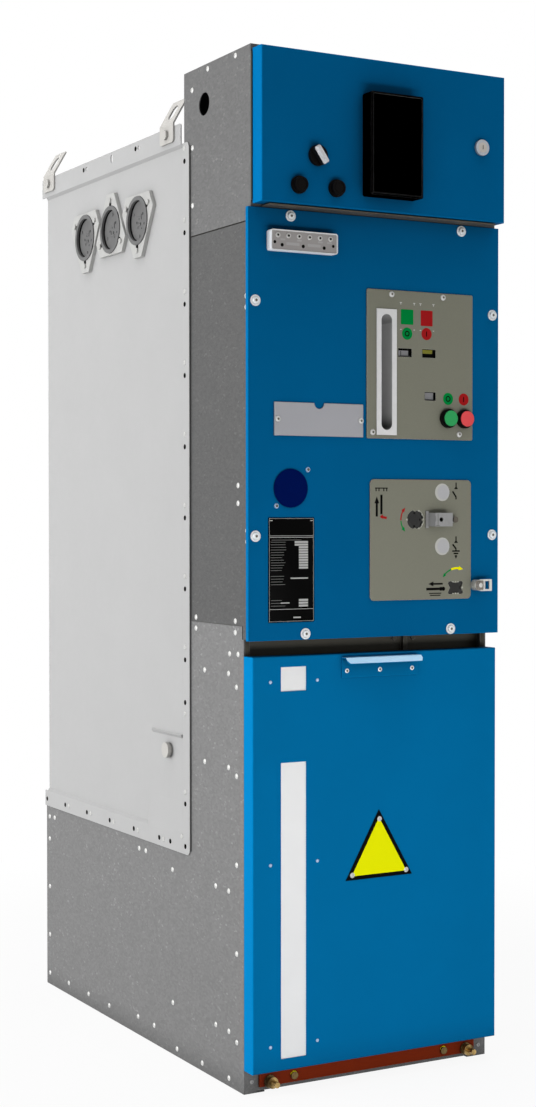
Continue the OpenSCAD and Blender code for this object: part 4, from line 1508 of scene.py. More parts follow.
@dataclass
class TankSection(SubAssembly):
    """Painted tank: wrapped skin, flanged sides, bus sockets and lifting lugs."""

    pitch: float = 127.5
    count: int = 8
    column_holes: Point = (16.0, 1243.2)
    column_rivets: Point = (16.0, 1266.0)
    low_holes: tuple[Point, ...] = ((16, 273.9), (16, 91), (16, 14.3), (78, 14.5), (670, 14.5))
    low_rivets: tuple[Point, ...] = ((16, 254), (16, 112.5), (30, 30.5))
    foot_pitch: float = 112.0
    foot_count: int = 5
    foot_holes: Point = (124.6, 14.5)
    foot_rivets: Point = (105.1, 14.5)
    upstand_holes: tuple[Point, ...] = ((223.0, 1301.0), (469.0, 1301.0))
    edge_strip: float = 2.4
    flange: float = 2.2
    edge_shade: Point = (2.2, 2.6)
    bushing_r: float = 46.0
    bushing_pitch: float = 123.0
    socket_rim: float = 8.0
    socket_depth: float = 7.0
    socket_dots: tuple[tuple[float, float, float], ...] = ((-14, 12, 2.8), (12, -2, 2.4), (-4, -6, 3.0),
                                                           (-20, -7, 2.4), (2, 4, 1.6), (-9, -15, 1.6))

    def build(self) -> None:
        """Dresses the tank, sets its rivets, darkens its holes with painted shade and lays painted shade
        along the flanges' front edges.
        """
        dress(Palette.TANK, "tank_wrap", "tank_side_left", "tank_side_right")
        dress(Palette.LUG, "lifting_lugs", "gas_valve_cap")
        dress(Palette.SOCKET, "bus_flanges")
        dress(Palette.PLUG, "bus_plugs")
        rivets = row(self.column_rivets, (0, -self.pitch), self.count) + list(self.low_rivets)
        rivets += row(self.foot_rivets, (self.foot_pitch, 0), self.foot_count)
        faces = both_sides("tank_side")
        self.fasteners.set_on("tank_rivets", Head.RIVET, spread(rivets, *faces), Palette.PAINTED_RIVET,
                              slot="tank_paint")
        holes = row(self.column_holes, (0, -self.pitch), self.count) + list(self.low_holes)
        holes += row(self.foot_holes, (self.foot_pitch, 0), self.foot_count)
        holes += self.upstand_holes
        # Dark discs over the flange holes: painted shade.
        self.fasteners.set_on("tank_holes", Head.HOLE, spread(holes, *faces), Palette.HOLE_SHADE,
                              slot="tank_paint", size=1.12)
        for face in faces:
            self._seal(face)
        for side in (Side.LEFT, Side.RIGHT):
            self._finish_sockets(side)

    def _finish_sockets(self, side: Side) -> None:
        """Lines the bus sockets of one side with a dark ring of painted shade on the recess wall, and adds
        their rims, notches darkened with painted shade, and specks.

        Args:
            side: the side of the tank.
        """
        low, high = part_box("bus_plugs")
        plugs = Face.of("bus_plugs", side)
        plates = Face.of("bus_flanges", side).set_back(3.0)
        flange_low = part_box("bus_flanges")[0]
        middle = ((high.y - low.y) / 2 / MM, (high.z - low.z) / 2 / MM)
        shift = ((low.y - flange_low.y) / MM, (low.z - flange_low.z) / MM)
        wall_shades = bmesh.new()
        rims = Artwork(plugs)
        notches = Artwork(plates, shift)
        dots = Artwork(plugs.set_back(self.socket_depth))
        notches.lift = 0.3
        hole = self.bushing_r - self.socket_rim
        for i in (-1, 0, 1):
            centre = (middle[0] + i * self.bushing_pitch, middle[1])
            outer = arc_points(centre, hole + 0.1, 0, 350, 36)
            inner = arc_points(centre, hole - 0.8, 0, 350, 36)
            depth = self.socket_depth + 0.1
            near = self.socket_depth - 2.8
            loft(wall_shades, plugs, [(outer, near), (outer, depth), (inner, depth), (inner, near)], around=True)
            rims.ring(centre, self.bushing_r - self.socket_rim / 2 - 0.2, self.socket_rim - 0.5)
            first = 90 if i == 0 else 270
            for turn in range(first, first + 360, 120):
                notches.disc(arc_points(centre, self.bushing_r + 2.4, turn, turn, 1)[0], 5.0, 20)
            for across, height, radius in self.socket_dots:
                dots.disc((centre[0] + across, centre[1] + height), radius, 16)
        name = side.name.lower()
        # Painted shade: the dark ring on each recess wall, and the dark notches.
        add_shape(f"socket_gaskets_{name}", wall_shades, Palette.SOCKET_SHADE)
        rims.piece(f"socket_rims_{name}", Palette.PLUG, "plug_grey")
        notches.piece(f"socket_notches_{name}", Palette.SOCKET_SHADE, "plug_grey")
        dots.piece(f"socket_dots_{name}", Palette.PLUG_DOT, "plug_grey")

    def _seal(self, face: Face) -> None:
        """Lays the painted strip, and a dark strip of painted shade, along a flange's front edge.

        Args:
            face: the outer face of that side of the tank.
        """
        width, thickness = self.edge_shade
        foot = 8.0
        top = (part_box("tank_wrap")[1].z - face.origin.z) / MM - foot
        middle = (foot + top) / 2
        strip = rounded_outline((-self.edge_strip / 2, middle), (self.edge_strip, top - foot), 0.3)
        flange = face.set_back(self.flange)
        slab(f"{face.node}_strip", flange, strip, self.flange, Palette.TANK)
        # Painted shade along the flange's front edge.
        edge_shade = rounded_outline((-self.edge_strip - width / 2, middle), (width, top - foot), 0.4)
        slab(f"{face.node}_seal", flange, edge_shade, thickness, Palette.FLANGE_EDGE_SHADE)


@dataclass
class Drives(SubAssembly):
    """The two lever drives, each closed by a thin dark shutter behind its keyhole."""

    nodes: tuple[str, str] = ("upper_drive", "lower_drive")
    shutter_radius: float = 10.6

    def build(self) -> None:
        """Dresses the drives and closes them."""
        dress(Palette.DRIVE, *self.nodes)
        for drive in self.nodes:
            low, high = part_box(drive)
            shutter = Artwork(front(drive))
            shutter.disc((0.0, (high.z - low.z) / 2 / MM), self.shutter_radius)
            shutter.piece(f"{drive}_shutter", Palette.SHUTTER, "drive_grey", drive)


@dataclass
class MechanismSection(SubAssembly):
    """Middle compartment: zinc sides, blue panel, holder, window and all their screws."""

    side_rivets: tuple[Point, ...] = (
        (45.6, 261.8), (45.6, 231.5), (14.3, 184.9), (14.3, 166.2), (16.3, 580.4), (16.3, 561.8),
        (205, 30.5), (56, 30.5))
    panel_screws: tuple[Point, ...] = (
        (-175, 718.5), (175, 718.5), (-243, 572.5), (243, 572.5), (-243, 177), (243, 177), (-146, 10),
        (153, 10))
    mechanism_screws: tuple[Point, ...] = ((-60.2, 252), (47.8, 252), (-99.2, 10.7), (82.8, 10.6))
    holder_screws: tuple[Point, ...] = ((-81.2, 27.75), (83.7, 28.25))
    window_screws: tuple[Point, ...] = ((-141, 290), (-202.5, 228))

    def build(self) -> None:
        """Dresses the compartment and sets the screws of the panel and its plates."""
        dress(Palette.MIDDLE_ZINC, "mid_side_left", "mid_side_right", "mid_floor")
        dress(Palette.MIDDLE_BLUE, "mid_panel")
        dress(Palette.HOLDER, "document_plate")
        dress(Palette.NAVY, "round_window")
        self.fasteners.set_on("middle_rivets", Head.RIVET, spread(self.side_rivets, *both_sides("mid_side")),
                              Palette.RIVET)
        panel = front("mid_panel")
        spots = spread(self.panel_screws, panel)
        self.fasteners.set_on("panel_screws", Head.WASHER_SCREW, spots, Palette.SCREW)
        small = spread(self.mechanism_screws, front("mechanism_plate"))
        small += spread(self.holder_screws, front("document_plate"))
        self.fasteners.set_on("plate_screws", Head.PLATE_SCREW, small, Palette.RIVET, size=0.92)
        # Dark discs in the screws' recesses: painted shade.
        self.fasteners.set_on("plate_screw_recesses", Head.HOLE, small, Palette.RECESS_SHADE, size=0.5, lift=2.1)
        self.fasteners.set_on("panel_screw_recesses", Head.HOLE, spots, Palette.RECESS_SHADE, size=0.6, lift=4.5)
        spots = spread(self.window_screws, panel)
        self.fasteners.set_on("window_screws", Head.STUD, spots, Palette.STUD, size=1.5)
        # Dark discs in the window screws' recesses: painted shade.
        self.fasteners.set_on("window_screw_recesses", Head.HOLE, spots, Palette.RECESS_SHADE, size=0.6, lift=2.0)


@dataclass
class MechanismPlate(SubAssembly):
    """Upper olive plate: lever slot, windows with their flags, buttons and plain print."""

    slot_size: Point = (22.3, 202.0)
    slot_centre: Point = (0.0, 109.75)
    slot_depth: float = 39.8
    windows: tuple[tuple[Point, float], ...] = (((-32.6, 151.2), 28.3), ((17.8, 151.5), 28.3),
                                                ((20.6, 76.2), 23.3))
    window_height: float = 14.8
    window_depth: float = 6.9
    flag_marks: tuple[Box, ...] = (
        (54.6, 1277.5, 29.0, 4.5), (66.5, 1271.0, 4.0, 9.0), (49.0, 1270.0, 1.2, 9.0),
        (105.0, 1267.5, 29.0, 8.4), (117.4, 1275.2, 4.0, 7.0), (118.2, 1196.2, 1.6, 15.0))
    flag_band: Box = (103.0, 1275.4, 24.6, 7.2)
    green_square: Box = (59.1, 1333.8, 26.0, 26.4)
    red_square: Box = (100.2, 1333.4, 25.0, 27.2)
    green_lamps: tuple[Point, Point] = ((59.2, 1304.7), (146.0, 1193.0))
    red_lamps: tuple[Point, Point] = ((100.0, 1305.9), (179.6, 1193.0))
    lamp_radii: Point = (10.8, 10.7)
    corner_marks: tuple[float, ...] = (46.0, 74.0, 87.0, 114.5)

    def build(self) -> None:
        """Dresses the plate, lines its openings and prints it."""
        dress(Palette.PLATE, "mechanism_plate")
        dress(Palette.SLOT, "lever_slot")
        dress(Palette.FLAG, "position_flags")
        dress(Palette.BLACK, "button_collars")
        dress(Palette.GREEN_CAP, "open_button")
        dress(Palette.RED_CAP, "close_button")
        self._line_slot()
        self._line_windows()
        self._mark_flags()
        self._print_squares()
        self._print_marks()

    def _line_slot(self) -> None:
        """Lines the lever slot with a thin grey sleeve, closed at the back, whose grey and darker ends are
        painted shade inside the white slot.
        """
        face = front("lever_slot")
        wide, tall = self.slot_size
        depth = self.slot_depth
        outer = rounded_outline(self.slot_centre, (wide + 0.2, tall + 0.2), wide / 2)
        inner = rounded_outline(self.slot_centre, (wide - 0.8, tall - 0.8), wide / 2 - 0.5)
        shape = bmesh.new()
        loft(shape, face, [(outer, depth + 0.2), (outer, 1.2), (inner, 1.2), (inner, depth)], around=False)
        add_shape("slot_sleeve", shape, Palette.SLOT_INSIDE)

    def _line_windows(self) -> None:
        """Lines the small windows of the mechanism plate with black frames."""
        plate = front("mechanism_plate")
        liners = bmesh.new()
        wall, near, far = 1.3, 0.3, self.window_depth
        for centre, width in self.windows:
            outer = rounded_outline(centre, (width, self.window_height), 0.4)
            inner = rounded_outline(centre, (width - wall, self.window_height - wall), 0.4)
            loft(liners, plate, [(outer, near), (outer, far), (inner, far), (inner, near)], around=True)
        add_shape("window_liners", liners, Palette.LINER)

    def _mark_flags(self) -> None:
        """Paints the position flags behind the small windows."""
        flags = front("position_flags")
        black = Artwork.measured(flags)
        black.boxes(*self.flag_marks)
        black.piece("flag_marks", Palette.INK_BLACK, "flag_white")
        olive = Artwork.measured(flags)
        olive.boxes(self.flag_band)
        olive.piece("flag_olive", Palette.FLAG_OLIVE, "flag_white")

    def _print_squares(self) -> None:
        """Prints the coloured squares, and the rounds below them and by the buttons."""
        for name, ink, square, lamps in (
                ("green", Palette.INK_GREEN, self.green_square, self.green_lamps),
                ("red", Palette.INK_RED, self.red_square, self.red_lamps)):
            coloured = Artwork.measured(front("mechanism_plate"))
            coloured.box(square[:2], square[2:], 1.5)
            for centre, radius in zip(lamps, self.lamp_radii):
                coloured.disc(centre, radius)
            coloured.piece(f"mechanism_{name}", ink, name)

    def _print_marks(self) -> None:
        """Prints the rings and bars on the rounds, and the white corner marks."""
        plate = front("mechanism_plate")
        black = Artwork.measured(plate)
        black.lift = 0.12
        marks = zip(self.green_lamps, self.red_lamps, ((4.0, 2.0), (4.2, 2.1)), ((2.0, 9.0), (2.1, 9.4)))
        for green, red, circle, bar in marks:
            black.ring(green, *circle)
            black.box(red, bar)
        black.piece("mechanism_marks", Palette.INK_BLACK, "olive_plate")
        white = Artwork.measured(plate)
        for across in self.corner_marks:
            white.boxes((across, 1358.5, 4.5, 1.2), (across, 1356.5, 1.2, 3.2), (across, 1311.7, 3.2, 1.2))
        white.piece("mechanism_corners", Palette.INK_WHITE, "olive_plate")


@dataclass
class SwitchPlate(SubAssembly):
    """Lower olive plate: turning arrows, lever pictograms, circuit symbols and plain eyes."""

    drives: tuple[str, str] = ("upper_drive", "lower_drive")
    upper_turn: Point = (76.0, 978.5)
    lower_turn: Point = (166.0, 855.0)
    eyes: Point = (1027.0, 931.0)
    axis: float = 163.5

    def build(self) -> None:
        """Dresses the plate and prints it."""
        dress(Palette.PLATE, "switch_plate")
        plate = front("switch_plate")
        self._print_arrows(plate)
        self._print_black(Artwork.measured(plate))
        self._keyhole_lands(plate)
        self._print_eyes(plate)

    def _print_arrows(self, plate: Face) -> None:
        """Prints the coloured turning arrows.

        Args:
            plate: the plate's front.
        """
        red = Artwork.measured(plate)
        red.arc_arrow(self.upper_turn, 29.5, (182, 134), 2.4, 8.5)
        red.stroke((4.5, 983.5), (17.0, 981.5), 4.0)
        red.arrow_head((2.6, 983.8), 180, 6.5, 8.0)
        red.piece("switch_red", Palette.INK_RED, "red")
        green = Artwork.measured(plate)
        green.arc_arrow(self.upper_turn, 29.5, (184, 226), 2.4, 8.5)
        green.arc_arrow(self.lower_turn, 37.0, (110, 146), 2.2, 7.5)
        green.piece("switch_green", Palette.INK_GREEN, "green")
        yellow = Artwork.measured(plate)
        yellow.arc_arrow(self.lower_turn, 37.0, (110, 70), 3.8, 9.5)
        yellow.piece("switch_yellow", Palette.INK_YELLOW, "olive_plate")

    def _print_eyes(self, plate: Face) -> None:
        """Prints the two plain eyes, where the positions show.

        Args:
            plate: the plate's front.
        """
        rims = Artwork.measured(plate)
        discs = Artwork.measured(plate)
        discs.lift = 0.14
        for height in self.eyes:
            rims.disc((134.0, height), 15.5, 56)
            discs.disc((136.0, height), 12.6, 48)
        rims.piece("position_eyes", Palette.EYE, "flag_white")
        discs.piece("position_eye_discs", Palette.EYE_DISC, "flag_white")

    def _print_black(self, black: Artwork) -> None:
        """Prints the lever pictograms and the plain circuit symbols.

        Args:
            black: the print to fill.
        """
        black.stroke((6.0, 1022), (6.0, 988), 4.6)
        black.stroke((-3.5, 984), (-3.5, 1008), 4.4)
        black.arrow_head((-3.5, 1019), 90, 12.0, 10.0)
        black.box((6.0, 1033.5), (26.0, 1.8))
        for across in (-5.0, 1.0, 11.0, 17.0):
            black.box((across, 1030.4), (2.0, 4.6))
        self._feed(black, 1044.5)
        black.stroke((156.0, 1028.8), (163.3, 1019.0), 3.0)
        black.stroke((163.3, 1020.0), (163.3, 1014.5), 2.6)
        self._feed(black, 948.5)
        black.stroke((156.2, 934.5), (163.4, 926.5), 3.0)
        black.stroke((163.4, 927.6), (163.4, 923.4), 2.4)
        for i, width in enumerate((16.0, 10.0, 5.0)):
            black.box((163.4, 922.4 - 4.4 * i), (width, 2.4))
        black.stroke((163.4, 913.0), (163.4, 909.5), 2.4)
        black.stroke((135.0, 864.5), (113.0, 864.5), 3.0)
        black.arrow_head((104.5, 864.5), 180, 10.5, 8.6)
        black.stroke((100.0, 855.5), (128.5, 855.5), 4.4)
        black.box((131.0, 855.5), (4.6, 6.4))
        black.disc((136.5, 855.5), 3.6)
        for i in range(2):
            black.box((119.0, 847.8 - 3.6 * i), (26.0 - 4 * i, 1.6))
        black.disc((127.0, 978.5), 9.0)
        black.piece("switch_marks", Palette.INK_BLACK, "olive_plate")

    def _feed(self, black: Artwork, top: float) -> None:
        """Prints a circuit symbol's feed, a short line with an arrow on it, down from a height."""
        black.stroke((self.axis, top), (self.axis, top - 11.5), 2.4)
        black.arrow_head((self.axis, top - 6.0), 90, 5.6, 8.2)

    def _keyhole_lands(self, plate: Face) -> None:
        """Paints highlights on the rims round the two lever holes.

        Args:
            plate: the plate's front.
        """
        upper, lower = (front_centre(drive) for drive in self.drives)
        pale = Artwork.measured(plate)
        pale.arc(upper, 18.3, (-52, 52), 1.0)
        for turn in (62, 30, 0, -30, -62, 180):
            pale.disc(arc_points(upper, 17.4, turn, turn, 1)[0], 1.5, 12)
        for across in (-5.5, 0.0, 5.5):
            pale.disc((lower[0] + across, lower[1] - 10.4), 1.4, 12)
            pale.disc((lower[0] + across, lower[1] + 10.6), 1.2, 12)
        pale.disc((lower[0] + 14.6, lower[1]), 1.7, 12)
        pale.piece("keyhole_lands", Palette.KEYHOLE_HIGHLIGHT, "olive_plate")


@dataclass
class Locks(SubAssembly):
    """The padlock hasp with its stop pin, and the latch on the right side."""

    pin: Point = (26.8, 15.0)
    pin_radius: float = 5.4
    pin_back: float = 9.0
    joints: tuple[tuple[Point, Point, float], ...] = (
        ((-15.5, 5.0), (-15.5, 25.0), 0.9), ((-20.5, 12.0), (-20.5, 21.0), 0.7),
        ((-19.0, 4.6), (-12.0, 4.6), 0.7))
    bolt: Point = (-8.75, 10.5)
    bolt_back: float = 4.0

    def build(self) -> None:
        """Adds a dark disc of painted shade on the stop pin, the hasp's joints, and a ring and a square of
        painted shade round the latch's bolt.
        """
        dress(Palette.HASP, "padlock_hasp")
        dress(Palette.ZINC_PLATED, "side_latch")
        hasp = front("padlock_hasp")
        head = arc_points(self.pin, self.pin_radius, 0, 345, 24)
        # Painted shade: a dark disc on the stop pin.
        slab("hasp_pin_head", hasp.set_back(self.pin_back), head, 3.0, Palette.RECESS_SHADE)
        joints = Artwork(hasp)
        for joint in self.joints:
            joints.stroke(*joint)
        joints.piece("hasp_joints", Palette.JOINT, "steel")
        latch = front("side_latch")
        # Painted shade round the latch's bolt: a ring on its face and a square behind it.
        shade_ring = Artwork(latch)
        shade_ring.ring(self.bolt, 5.0, 1.9)
        shade_ring.piece("latch_grease", Palette.LATCH_SHADE, "steel")
        seat = Artwork(latch.set_back(self.bolt_back))
        seat.box(self.bolt, (17.0, 17.0), 2.0)
        seat.piece("latch_seat", Palette.LATCH_SHADE, "steel")


@dataclass
class RatingPlate(SubAssembly):
    """Black rating plate with blank print, laid out in shares of its width and height."""

    low: Point = (-218.4, 30.5)
    high: Point = (-128.8, 208.4)
    ply: float = 0.8

    @property
    def width(self) -> float:
        """Returns the plate's width."""
        return self.high[0] - self.low[0]

    @property
    def height(self) -> float:
        """Returns the plate's height."""
        return self.high[1] - self.low[1]

    def place(self, across: float, down: float) -> Point:
        """Returns the point at shares of the width and of the way down."""
        return self.low[0] + across * self.width, self.high[1] - down * self.height

    def build(self) -> None:
        """Adds the plate and its blank print."""
        panel = front("mid_panel")
        outline = rounded_outline(self.place(0.5, 0.5), (self.width, self.height), 1.5)
        slab("rating_plate", panel, outline, self.ply, Palette.RATING_BLACK)
        plate = panel.set_back(-self.ply)
        self._print_rules(plate)
        self._print_fields(plate)
        self._print_rows(plate)

    def _print_rules(self, plate: Face) -> None:
        """Prints the thin rules.

        Args:
            plate: the rating plate's own front.
        """
        rules = Artwork(plate)
        for down in (0.175, 0.19, 0.875):
            rules.box(self.place(0.5, down), (self.width * 0.94, 0.6))
        for across in (0.02, 0.98):
            rules.box(self.place(across, 0.5), (0.35, self.height * 0.98))
        for down in (0.01, 0.99):
            rules.box(self.place(0.5, down), (self.width * 0.96, 0.35))
        for across in (0.06, 0.94):
            rules.box(self.place(across, 0.03), (5, 1.0))
        rules.piece("rating_rules", Palette.INK_WHITE, "black_plastic")

    def _print_fields(self, plate: Face) -> None:
        """Prints the blank fields.

        Args:
            plate: the rating plate's own front.
        """
        fields = Artwork(plate)
        for i in range(11):
            wide = i < 2
            centre = 0.715 if wide else 0.76
            fields.box(self.place(centre, 0.235 + 0.0245 * i), (self.width * (0.29 if wide else 0.2), 3.4))
        fields.box(self.place(0.67, 0.58), (self.width * 0.38, 2.2))
        for i in range(3):
            fields.box(self.place(0.76, 0.79 + 0.0265 * i), (self.width * 0.2, 3.4))
        fields.box(self.place(0.36, 0.815), (self.width * 0.19, 1.8))
        fields.box(self.place(0.62, 0.955), (self.width * 0.16, 2.2))
        fields.piece("rating_fields", Palette.FIELD, "black_plastic")

    def _print_rows(self, plate: Face) -> None:
        """Prints the blank rows, each as long as chance gives it.

        Args:
            plate: the rating plate's own front.
        """
        columns = {
            "rating_rows": (0.05, 0.235, 12, 4.36, (20, 30)),
            "rating_rows_low": (0.05, 0.56, 4, 4.7, (22, 34)),
            "rating_rows_foot": (0.05, 0.79, 3, 4.7, (18, 32)),
            "rating_title": (0.07, 0.215, 1, 4.0, (56, 58)),
        }
        for seed, (name, (across, down, count, pitch, lengths)) in enumerate(columns.items()):
            start = plate.at(*self.place(across, down))
            mesh = self.rows.bars(name, start, count, pitch, lengths, 0.8, Palette.INK_GREY, seed)
            add_piece(name, mesh)


@dataclass
class VoltageIndicator(SubAssembly):
    """Pale case of the voltage indicator: its face, sockets, blank fields and end screws."""

    sockets: tuple[Point, ...] = tuple((-51.5 + 20.5 * i, 25.5) for i in range(6))
    low_sockets: tuple[Point, ...] = tuple((41.0 * i - 2.4, 9.4) for i in range(-1, 2))
    ends: tuple[Point, Point] = ((-57.4, 13.6), (56.6, 13.6))
    sunk: float = 1.5
    boss: float = 1.38

    def build(self) -> None:
        """Dresses the case and adds its face, sockets and fields, and dark discs of painted shade in its
        bores and at its end screws.
        """
        dress(Palette.INDICATOR, "voltage_indicator")
        face = front("voltage_indicator")
        # Dark discs at the end screws: painted shade.
        self.fasteners.set_on("indicator_screws", Head.HOLE, spread(self.ends, face), Palette.HOLE_SHADE,
                              size=0.66, slot="light_plastic", lift=0.15)
        inside = face.set_back(self.sunk)
        field_print = Artwork(inside)
        field_print.box((0, 17.5), (126.4, 31.4), 1.5)
        field_print.piece("indicator_face", Palette.INDICATOR_FACE, "light_plastic")
        bores = Artwork(inside)
        rings = Artwork(inside)
        fields = Artwork(inside)
        bores.lift = rings.lift = self.boss
        fields.lift = 0.14
        for centre in self.sockets:
            bores.disc(centre, 2.0, 16)
            rings.ring(centre, 3.1, 2.0)
        lower = Artwork(inside)
        lower.lift = 0.14
        for centre in self.low_sockets:
            lower.disc(centre, 3.1, 20)
        for across in (-22.5, 19.0):
            fields.box((across, 12.0), (25.0, 4.6), 0.4)
        for across in (-42.0, -10.0, 31.0, 49.0):
            fields.box((across, 18.6), (9.0, 3.0), 0.4)
        # The bores are dark discs: painted shade.
        bores.piece("indicator_socket_bores", Palette.HOLE_SHADE, "light_plastic")
        lower.piece("indicator_low_bores", Palette.HOLE_SHADE, "light_plastic")
        rings.piece("indicator_rings", Palette.DIM_RING, "light_plastic")
        fields.piece("indicator_fields", Palette.PALE_FIELD, "light_plastic")


@dataclass
class ControlBox(SubAssembly):
    """Top box: zinc case, blue door, relay, selector, pilot rings and lock."""

    side_rivets: tuple[Point, ...] = ((54, 285), (157, 284.4), (218, 259), (217, 157), (217, 55))
    seam_centre: Point = (112.5, 0.5)
    seam_size: Point = (221.0, 1.6)
    lock_height: float = 14.0
    lock_radius: float = 8.8

    def build(self) -> None:
        """Dresses the box, sets its rivets and marks its lower seams and its lock."""
        dress(Palette.BOX_ZINC, "box_side_left", "box_side_right", "box_back", "box_roof")
        dress(Palette.SHELF_ZINC, "box_floor")
        dress(Palette.RAIL, "box_hinge")
        dress(Palette.TOP_BLUE, "box_door")
        dress(Palette.BLACK_GLASS, "relay")
        dress(Palette.BLACK, "door_controls")
        dress(Palette.KNOB, "selector_handle")
        dress(Palette.CHROME, "door_lock")
        sides = both_sides("box_side")
        self.fasteners.set_on("box_rivets", Head.RIVET, spread(self.side_rivets, *sides), Palette.RIVET)
        for face in sides:
            seam = rounded_outline(self.seam_centre, self.seam_size, 0.2)
            slab(f"{face.node}_seam", face, seam, 0.25, Palette.SEAM)
        barrel = Artwork(front("door_lock"))
        barrel.disc((0, self.lock_height), self.lock_radius)
        barrel.piece("lock_barrel", Palette.BARREL, "steel", "lock")
        key = Artwork(front("door_lock"))
        key.lift = 0.14
        key.box((0.8, 14.6), (1.8, 7.5), 0.6)
        key.piece("lock_key_slot", Palette.KEY_SLOT, "steel", "lock")


@dataclass
class CableDoor(SubAssembly):
    """Lower door: windows, handle, studs and the blank three-cornered plate."""

    stud_columns: Point = (-216, -124)
    stud_heights: tuple[float, ...] = (663, 352.5, 43)
    handle_screws: tuple[Point, ...] = ((-65.6, 676.7), (1.5, 676.7), (68.3, 676.7))
    sign_corners: tuple[Point, ...] = ((0.4, 432.0), (-67.6, 312.3), (69.2, 312.8))
    sign_border: float = 7.0
    sign_ply: float = 0.8
    sign_rivets: tuple[Point, ...] = ((1.5, 415), (-54, 321), (57, 321))

    def build(self) -> None:
        """Dresses the door and adds what is fixed to it."""
        dress(Palette.LOW_BLUE, "cable_door")
        dress(Palette.HANDLE_BLUE, "lift_handle")
        dress(Palette.OPAL, "door_windows")
        door = front("cable_door")
        studs = [(across, height) for height in self.stud_heights for across in self.stud_columns]
        self.fasteners.set_on("window_studs", Head.STUD, spread(studs, door), Palette.STUD, "cable_door",
                              slot="blue_low")
        spots = spread(self.handle_screws, door)
        self.fasteners.set_on("handle_screws", Head.PLATE_SCREW, spots, Palette.SCREW, "cable_door")
        # Dark discs in the handle screws' recesses: painted shade.
        self.fasteners.set_on("handle_screw_recesses", Head.HOLE, spots, Palette.RECESS_SHADE, "cable_door",
                              size=0.5, lift=2.3)
        slab("sign_plate", door, self.sign_corners, self.sign_ply, Palette.SIGN_BLACK,
             "cable_door")
        plate = door.set_back(-self.sign_ply)
        yellow = Artwork(plate)
        yellow.outline(inset(self.sign_corners, self.sign_border))
        yellow.piece("sign_field", Palette.SIGN_YELLOW, "black_plastic", "cable_door")
        self.fasteners.set_on("sign_rivets", Head.SIGN_RIVET, spread(self.sign_rivets, plate), Palette.RIVET,
                              "cable_door", size=1.6)


def inset(corners: Sequence[Point], border: float) -> list[Point]:
    """Returns a three-cornered outline moved in from every side.

    Args:
        corners: the outer corners.
        border: how far each side moves in.

    Returns:
        The inner corners.
    """
    sides = [(Vector(corners[i]) - Vector(corners[i - 1])).length for i in range(3)]
    opposite = [sides[2], sides[0], sides[1]]
    total = sum(sides)
    centre = Vector((0, 0))
    for corner, length in zip(corners, opposite):
        centre += Vector(corner) * length / total
    half = total / 2
    radius = math.sqrt((half - sides[0]) * (half - sides[1]) * (half - sides[2]) / half)
    share = 1 - border / radius
    return [tuple(centre + (Vector(corner) - centre) * share) for corner in corners]


# ---- Studio ----


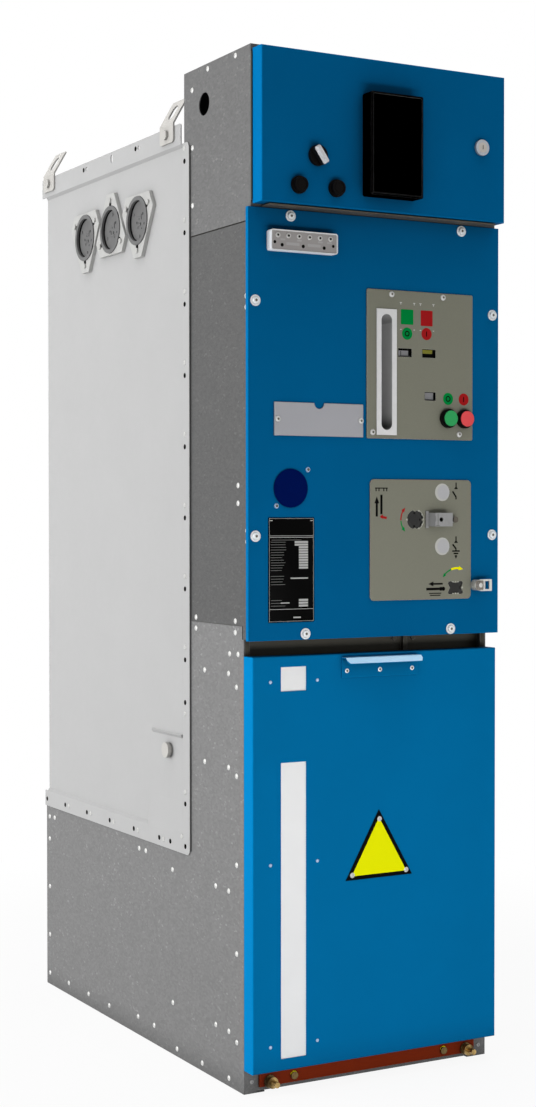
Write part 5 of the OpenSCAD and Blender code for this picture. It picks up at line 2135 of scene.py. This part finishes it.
@dataclass
class Studio:
    """Pale floor, white surroundings and soft lamps."""

    WHITE = (1, 1, 1, 1)

    lamps: tuple[tuple, ...] = (
        ("overhead_lamp", (0.4, 0.0, 4.2), (0.4, 0.0, 0.9), (5.0, 3.0), 135),
        ("left_lamp", (-4.4, 0.9, 1.4), (0.0, 0.2, 0.9), (3.2, 2.6), 198),
        ("front_lamp", (-0.2, -2.6, 0.12), (0.0, -0.5, 0.3), (2.4, 0.5), 33),
    )
    world_light: float = 0.14
    camera_at: tuple[float, float, float] = (-1.7369, -3.2145, 0.9819)
    camera_turn: tuple[float, float, float] = (88.90, 0.03, -28.94)
    lens: float = 60.5
    sensor: float = 36.0
    floor_size: float = 9.0
    floor_fade: Point = (0.9, 1.8)
    floor_glow: float = 0.92

    def build(self) -> None:
        """Sets the floor, world, lamps and camera."""
        scene = bpy.context.scene
        scene.view_settings.view_transform = "Standard"
        self._floor()
        self._world()
        for lamp in self.lamps:
            self._lamp(*lamp)
        self._camera(scene)

    def _floor(self) -> None:
        """Lays the floor, which shows only the object's shadow on white."""
        mesh = bpy.data.meshes.new("studio_floor")
        half = self.floor_size / 2
        mesh.from_pydata([(-half, -half, 0), (half, -half, 0), (half, half, 0), (-half, half, 0)], [],
                         [(0, 1, 2, 3)])
        floor = bpy.data.objects.new("studio_floor", mesh)
        bpy.context.scene.collection.objects.link(floor)
        bench = ShaderBench("studio_floor_paint")
        body = bench.node("ShaderNodeBsdfDiffuse", None, {"Color": (0.82, 0.82, 0.82, 1)}).out("BSDF")
        glow = {"Color": self.WHITE, "Strength": 1.0}
        white = bench.node("ShaderNodeEmission", None, glow).out("Emission")
        apart = bench.node("ShaderNodeVectorMath", {"operation": "LENGTH"}, {"Vector": bench.place})
        far = apart.out("Value").between(*self.floor_fade)
        share = self._direct(bench) * (far * (1 - self.floor_glow) + self.floor_glow)
        both = bench.node("ShaderNodeMixShader", None, {"Fac": share, "Shader": body, "Shader_001": white})
        bench.node("ShaderNodeOutputMaterial", None, {"Surface": both.out("Shader")})
        mesh.materials.append(bench.material)

    @staticmethod
    def _direct(bench: Bench) -> Wire:
        """Returns 1 for rays that show the surroundings: straight, mirrored or through glass."""
        path = bench.node("ShaderNodeLightPath")
        rays = path.out("Is Camera Ray") + path.out("Is Glossy Ray") + path.out("Is Transmission Ray")
        return rays.between(0.0, 1.0)

    def _world(self) -> None:
        """Makes surroundings that are white to the camera and dim as light."""
        world = bpy.data.worlds.new("studio_world")
        bpy.context.scene.world = world
        world.use_nodes = True
        bench = Bench(world.node_tree)
        sky = [bench.node("ShaderNodeBackground", None, {"Color": self.WHITE, "Strength": strength})
               for strength in (self.world_light, 1.0)]
        dim, white = (node.out("Background") for node in sky)
        values = {"Fac": self._direct(bench), "Shader": dim, "Shader_001": white}
        both = bench.node("ShaderNodeMixShader", None, values)
        bench.node("ShaderNodeOutputWorld", None, {"Surface": both.out("Shader")})

    @staticmethod
    def _lamp(name: str, at: Sequence[float], aim: Sequence[float], size: Point, power: float) -> None:
        """Adds a rectangular soft lamp.

        Args:
            name: its name.
            at: where it is.
            aim: the point that it faces.
            size: its width and height.
            power: its power in watts.
        """
        data = bpy.data.lights.new(name, "AREA")
        data.shape = "RECTANGLE"
        data.size, data.size_y = size
        data.energy = power
        lamp = bpy.data.objects.new(name, data)
        lamp.location = at
        lamp.rotation_euler = (Vector(aim) - Vector(at)).to_track_quat("-Z", "Y").to_euler()
        bpy.context.scene.collection.objects.link(lamp)

    def _camera(self, scene: bpy.types.Scene) -> None:
        """Places the camera at the eye's height, left of the front.

        Args:
            scene: the scene that it films.
        """
        data = bpy.data.cameras.new("camera")
        data.lens = self.lens
        data.sensor_width = self.sensor
        camera = bpy.data.objects.new("camera", data)
        camera.location = self.camera_at
        camera.rotation_euler = tuple(math.radians(angle) for angle in self.camera_turn)
        scene.collection.objects.link(camera)
        scene.camera = camera


def main() -> None:
    """Builds every sub-assembly in order and lights them."""
    logging.basicConfig(level=logging.INFO, format="%(message)s")
    makers = FastenerField(), RuledRows()
    for part in (BaseSection, TankSection, Drives, MechanismSection, MechanismPlate, SwitchPlate, Locks,
                 RatingPlate, VoltageIndicator, ControlBox, CableDoor):
        part(*makers).build()
    Studio().build()


if __name__ == "__main__":
    main()
